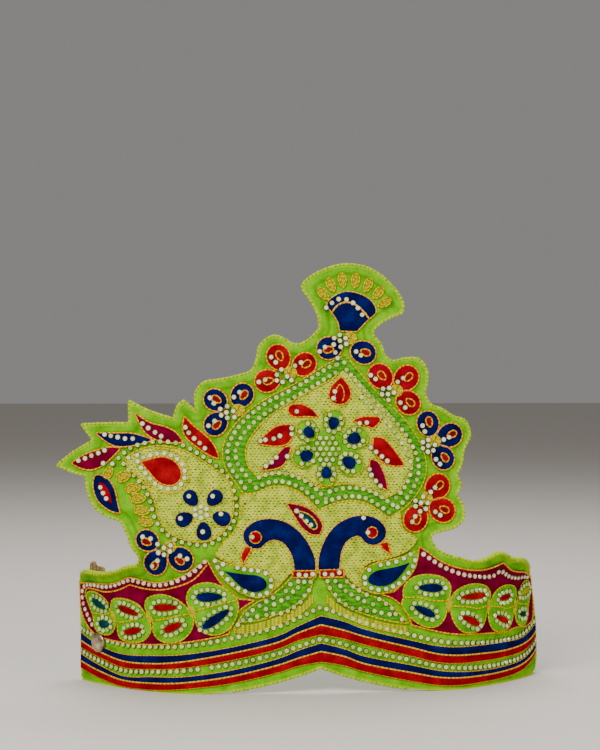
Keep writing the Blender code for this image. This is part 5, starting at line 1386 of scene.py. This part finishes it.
sew_cloth("petal_hearts", petal_hearts, 1.12, 0.2, 0.1, brown_red,
          pitch=1.0)
couch_thread("petal_loops", petal_loops, 0.32, orange)
couch_thread("flower_coils", coils, 0.42, gold)
set_stones("stones_border_flowers", kept_apart(petal_stones, 2.2), 1.2)


# The details of the fan.
# Seven gold loops stand round the navy patch; a cream thread and a row of stones curve
# across it.
FAN_MIDDLE = (13.5, 163)
FAN_LOOPS = (
    (1.8, 176.2), (5.3, 180.2), (10.4, 182.3), (16.2, 182.1), (21.8, 180.2), (26.4, 176.7), (29.3, 172.4))
FAN_ARC = ((5.2, 167.3), (8, 171), (12, 172.5), (16.5, 171.2), (19.8, 168.3), (22.2, 165.2))
FAN_STONES = (
    (3, 170), (5.6, 172.1), (8.6, 173.8), (12.1, 173.7), (15, 172.2), (17.2, 169.9), (19.1, 166.9))
fan_loops = [(place, math.degrees(math.atan2(FAN_MIDDLE[1] - place[1], FAN_MIDDLE[0] - place[0])), 6.4, 4.2)
             for place in FAN_LOOPS]
sew_loops("fan_loop", fan_loops)
couch_thread("fan_arc_thread", [(smooth_line(FAN_ARC, False), False, 1.0)], 0.4, cream)
set_stones("stones_fan", FAN_STONES, 1.12)


# The gold fillings between the leaf pairs.
# Where two pairs meet, a patch of close gold stitches fills the notch.
FILLINGS = ((-56.7, 36.6), (-77.0, 32.8), (-97.6, 31.4), (57.3, 38.8), (79.4, 36.0), (99.2, 34.0))
FILLING_WIDE = 2.5
FILLING_HIGH = 4.4
fillings = [smooth_line(((s - FILLING_WIDE, z, 1), (s, z + FILLING_HIGH, 1), (s + FILLING_WIDE, z, 1),
                         (s, z - FILLING_HIGH, 1))) for s, z in FILLINGS]
sew_cloth("gold_fillings", fillings, LAYER + 0.06, 0.6, 0.4, gold_satin,
          pitch=1.0)


# The stud and the tab at the left end.
# A beige cap of a press stud sits on the stripes. Behind the end a folded strip of brown
# webbing, which tied the crown on, shows above the edge.
STUD_PLACE = (-107.9, 18.9)
STUD_RADIUS = 4.4
TAB_ROWS = (("height", "left", "right"), (14, -121, -109), (30, -121, -109), (44, -121.5, -109),
            (50, -121.3, -109), (54, -120.5, -109.5))
TAB_THICK = 1.1
# How far the tab lies behind the band at even places across it, and how its top edge runs.
TAB_PLEAT = (0.0, 0.9, 0.1, 0.0, 1.5, 0.9, 0.1, 0.7, 0.0)
TAB_TOP = (-0.6, 0.5, 0.4, -0.5, -2.6, -1.8, -1.7, -2.2, -3.2)


def painted_tin(name):
    """Painted tin: a smooth beige stoving paint over a pressed cap, worn a little dull."""
    material, tree, shader = new_material(name)
    place = add_node(tree, "ShaderNodeTexCoord").outputs["Object"]
    wear = add_node(tree, "ShaderNodeTexNoise",
                    {"Vector": place, "Scale": 420.0, "Detail": 4.0}).outputs["Fac"]
    colour = add_node(tree, "ShaderNodeValToRGB", {"Fac": wear},
                      ((0.35, "#7c6a50"), (0.55, "#b4a282"), (0.75, "#d8ccb0")))
    finish_material(tree, shader, colour.outputs["Color"], wear, 0.15, 0.0002,
                    {"Roughness": 0.24, "Metallic": 0.8})
    return material


def press_stud():
    """A pressed cap, made flat in millimetres and then turned to its place on the form."""
    bpy.ops.object.select_all(action="DESELECT")
    bpy.ops.mesh.primitive_cylinder_add(vertices=48, radius=STUD_RADIUS, depth=1.0, location=(0, 0, 0.5))
    piece = bpy.context.active_object
    bpy.ops.object.transform_apply(location=True)
    bpy.ops.object.mode_set(mode="EDIT")
    # Each step of the cap, from its edge to its middle: how far in and how far up.
    for inset, rise in ((0.7, 0.35), (0.9, 0.35), (0.9, 0.1)):
        body = bmesh.from_edit_mesh(piece.data)
        body.normal_update()
        top = max(face.calc_center_median().z for face in body.faces)
        for face in body.faces:
            face.select = face.normal.z > 0.9 and face.calc_center_median().z > top - 0.01
        bmesh.update_edit_mesh(piece.data)
        bpy.ops.mesh.inset(thickness=inset, depth=rise)
    bpy.ops.object.mode_set(mode="OBJECT")
    rim = piece.modifiers.new("rim", "BEVEL")
    rim.width = 0.22
    rim.segments = 3
    rim.limit_method = "ANGLE"
    bpy.ops.object.modifier_apply(modifier="rim")
    corners = np.array([vert.co[:] for vert in piece.data.vertices])
    corners[:, 0] += STUD_PLACE[0]
    corners[:, 1] += STUD_PLACE[1]
    corners[:, 2] += LAYER + 0.3
    piece.data.vertices.foreach_set("co", laid_on_form(corners).astype(np.float32).ravel())
    piece.data.materials.append(painted_tin("beige_painted_tin"))
    bpy.ops.object.shade_smooth_by_angle(angle=math.radians(35))
    piece.name = "press_stud_cap"
    return piece


stud = press_stud()
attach(stud, "root")
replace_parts(stud, "snap_stud")


def webbing_cloth(name):
    """Coarse brown webbing: warp cords of about a millimetre with slubs across them."""
    material, tree, shader = new_material(name)
    flat = add_node(tree, "ShaderNodeTexCoord").outputs["UV"]
    warp = add_node(tree, "ShaderNodeTexWave",
                    {"Vector": flat, "Scale": 0.32, "Distortion": 1.2, "Detail": 2.0})
    weft = add_node(tree, "ShaderNodeTexWave", {"Vector": flat, "Scale": 0.5, "Distortion": 2.0},
                    bands_direction="Y")
    both = add_node(tree, "ShaderNodeMath", {0: warp.outputs["Fac"], 1: 0.6, 2: weft.outputs["Fac"]},
                    operation="MULTIPLY_ADD").outputs[0]
    colour = add_node(tree, "ShaderNodeValToRGB", {"Fac": both},
                      ((0.2, "#3a1c08"), (0.7, "#84562c"), (1.0, "#c49a68")))
    finish_material(tree, shader, colour.outputs["Color"], both, 0.7, 0.0006, {"Roughness": 0.8})
    return material


def tie_tab():
    """The strip as a pleated sheet with its own thickness, rounded at its sides."""
    heights = np.array([row[0] for row in TAB_ROWS[1:]])
    levels = np.linspace(heights[0], heights[-1], 26)
    across = np.linspace(0, 1, 25)
    knots = np.linspace(0, 1, len(TAB_PLEAT))
    places = []
    for level in levels:
        left, right = (np.interp(level, heights, [row[side] for row in TAB_ROWS[1:]]) for side in (1, 2))
        for share in across:
            pleat, top = (np.interp(share, knots, values) for values in (TAB_PLEAT, TAB_TOP))
            rise = top * np.clip((level - 44) / 12, 0, 1)
            places.append((left + (right - left) * share, level + rise, pleat))
    faces = []
    for row in range(len(levels) - 1):
        for column in range(len(across) - 1):
            here = row * len(across) + column
            faces.append((here, here + 1, here + 1 + len(across), here + len(across)))
    mesh = bpy.data.meshes.new("tie_tab_webbing")
    flat = np.array(places)
    foot = flat.copy()
    foot[:, 1] = BEND_LOW - 1
    foot[:, 2] = -BASE_THICK - 0.4 - flat[:, 2]
    points = laid_on_form(foot)
    points[:, 1] += LEAN * (flat[:, 1] - foot[:, 1]) * MM
    points[:, 2] = flat[:, 1] * MM
    mesh.from_pydata(points.tolist(), [], faces)
    mark_pattern(mesh, flat[:, :2])
    piece = link_piece("tie_tab_webbing", mesh)
    wall_and_rim(piece, TAB_THICK * MM, -1, 0.3 * MM, 30)
    mesh.materials.append(webbing_cloth("brown_cotton_webbing"))
    mesh.polygons.foreach_set("use_smooth", [True] * len(mesh.polygons))
    return piece


tab = tie_tab()
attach(tab, "root")
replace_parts(tab, "tie_tab")


# The frayed edge of the velvet.
# The cut edge is left raw, so short ends of pile and warp stand out all round the crest and
# the shoulders, a millimetre or so long.
FRAY_STEP = 0.34
FRAY_LENGTH = (0.5, 1.7)
FRAY_RADIUS = 0.085
FRAY_FLOOR = 1.5


def fray_strands(line):
    """Short curved strands, three-sided, thinning to a point, out from the edge of the cloth."""
    draw = random.Random(7)
    points, faces = [], []
    for s, z in stone_places(line, FRAY_STEP, closed=True):
        if z < FRAY_FLOOR:
            continue
        nearest = int(np.argmin(np.hypot(line[:, 0] - s, line[:, 1] - z)))
        ahead = line[(nearest + 1) % len(line)] - line[nearest - 1]
        ahead = ahead / np.linalg.norm(ahead)
        side = -1 if signed_area(line) > 0 else 1
        out = side * np.array([-ahead[1], ahead[0]])
        heading = out + ahead * draw.uniform(-0.9, 0.9)
        heading /= np.linalg.norm(heading)
        length = draw.uniform(*FRAY_LENGTH)
        rise, bend = draw.uniform(-0.5, 0.6), draw.uniform(-0.5, 0.5)
        lift = draw.uniform(-1.3, -0.05)
        start = np.array([s, z]) - out * 0.25
        first = len(points)
        for share, thick in ((0, 1.0), (0.55, 0.8)):
            place = start + heading * length * share + ahead * bend * length * share ** 2
            for side_turn in range(3):
                turn = 2 * math.pi * side_turn / 3
                offset = FRAY_RADIUS * thick * math.cos(turn)
                points.append((place[0] - heading[1] * offset, place[1] + heading[0] * offset,
                               lift + rise * length * share + FRAY_RADIUS * thick * math.sin(turn)))
        tip = start + heading * length + ahead * bend * length
        points.append((tip[0], tip[1], lift + rise * length))
        for side_turn in range(3):
            other = (side_turn + 1) % 3
            faces.append((first + side_turn, first + 3 + side_turn, first + 3 + other, first + other))
            faces.append((first + 3 + side_turn, first + 6, first + 3 + other))
        faces.append((first, first + 1, first + 2))
    return points, faces


fray_points, fray_faces = fray_strands(base_line)
fray_mesh = bpy.data.meshes.new("frayed_edge")
fray_mesh.from_pydata(laid_on_form(fray_points).tolist(), [], fray_faces)
mark_pattern(fray_mesh, np.array(fray_points)[:, :2])
fray = link_piece("frayed_edge", fray_mesh)
fray_mesh.materials.append(velvet("lime_loose_pile", "#7cb400", "#a8d000", "#cce020"))
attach(fray, "root")


# The floor, the light and the camera.
# A plain pale floor, three large soft lamps, and the camera where the photograph was taken.
bpy.ops.object.select_all(action="DESELECT")
bpy.ops.mesh.primitive_plane_add(size=16, location=(0, 0, 0))
floor = bpy.context.active_object
floor.name = "pale_floor"
painted, tree, shader = new_material("pale_matt_floor")
set_inputs(tree, shader, {"Base Color": srgb("#d3ccc4"), "Roughness": 0.7})
floor.data.materials.append(painted)

world = bpy.data.worlds.new("soft_room")
world.use_nodes = True
backdrop = world.node_tree.nodes["Background"]
set_inputs(world.node_tree, backdrop, {"Color": srgb("#e6e4e0"), "Strength": 0.3})
bpy.context.scene.world = world

LAMPS = (
    ("key", (-0.55, -0.95, 0.95), 0.6, 21.0),
    ("fill", (0.85, -0.8, 0.45), 0.9, 6.0),
    ("top", (0.1, 0.35, 1.1), 0.8, 10.0))
for name, place, size, power in LAMPS:
    lamp = bpy.data.lights.new(name, "AREA")
    lamp.size = size
    lamp.energy = power
    holder = bpy.data.objects.new(name, lamp)
    holder.location = place
    holder.rotation_euler = (Vector((0, 0, 0.09)) - Vector(place)).to_track_quat("-Z", "Y").to_euler()
    bpy.context.scene.collection.objects.link(holder)

camera = bpy.data.objects.new("camera", bpy.data.cameras.new("camera"))
camera.data.lens = 85.75
camera.location = (-0.0730, -0.8071, 0.1401)
camera.rotation_euler = (math.radians(90), 0, math.radians(-5))
bpy.context.scene.collection.objects.link(camera)
bpy.context.scene.camera = camera
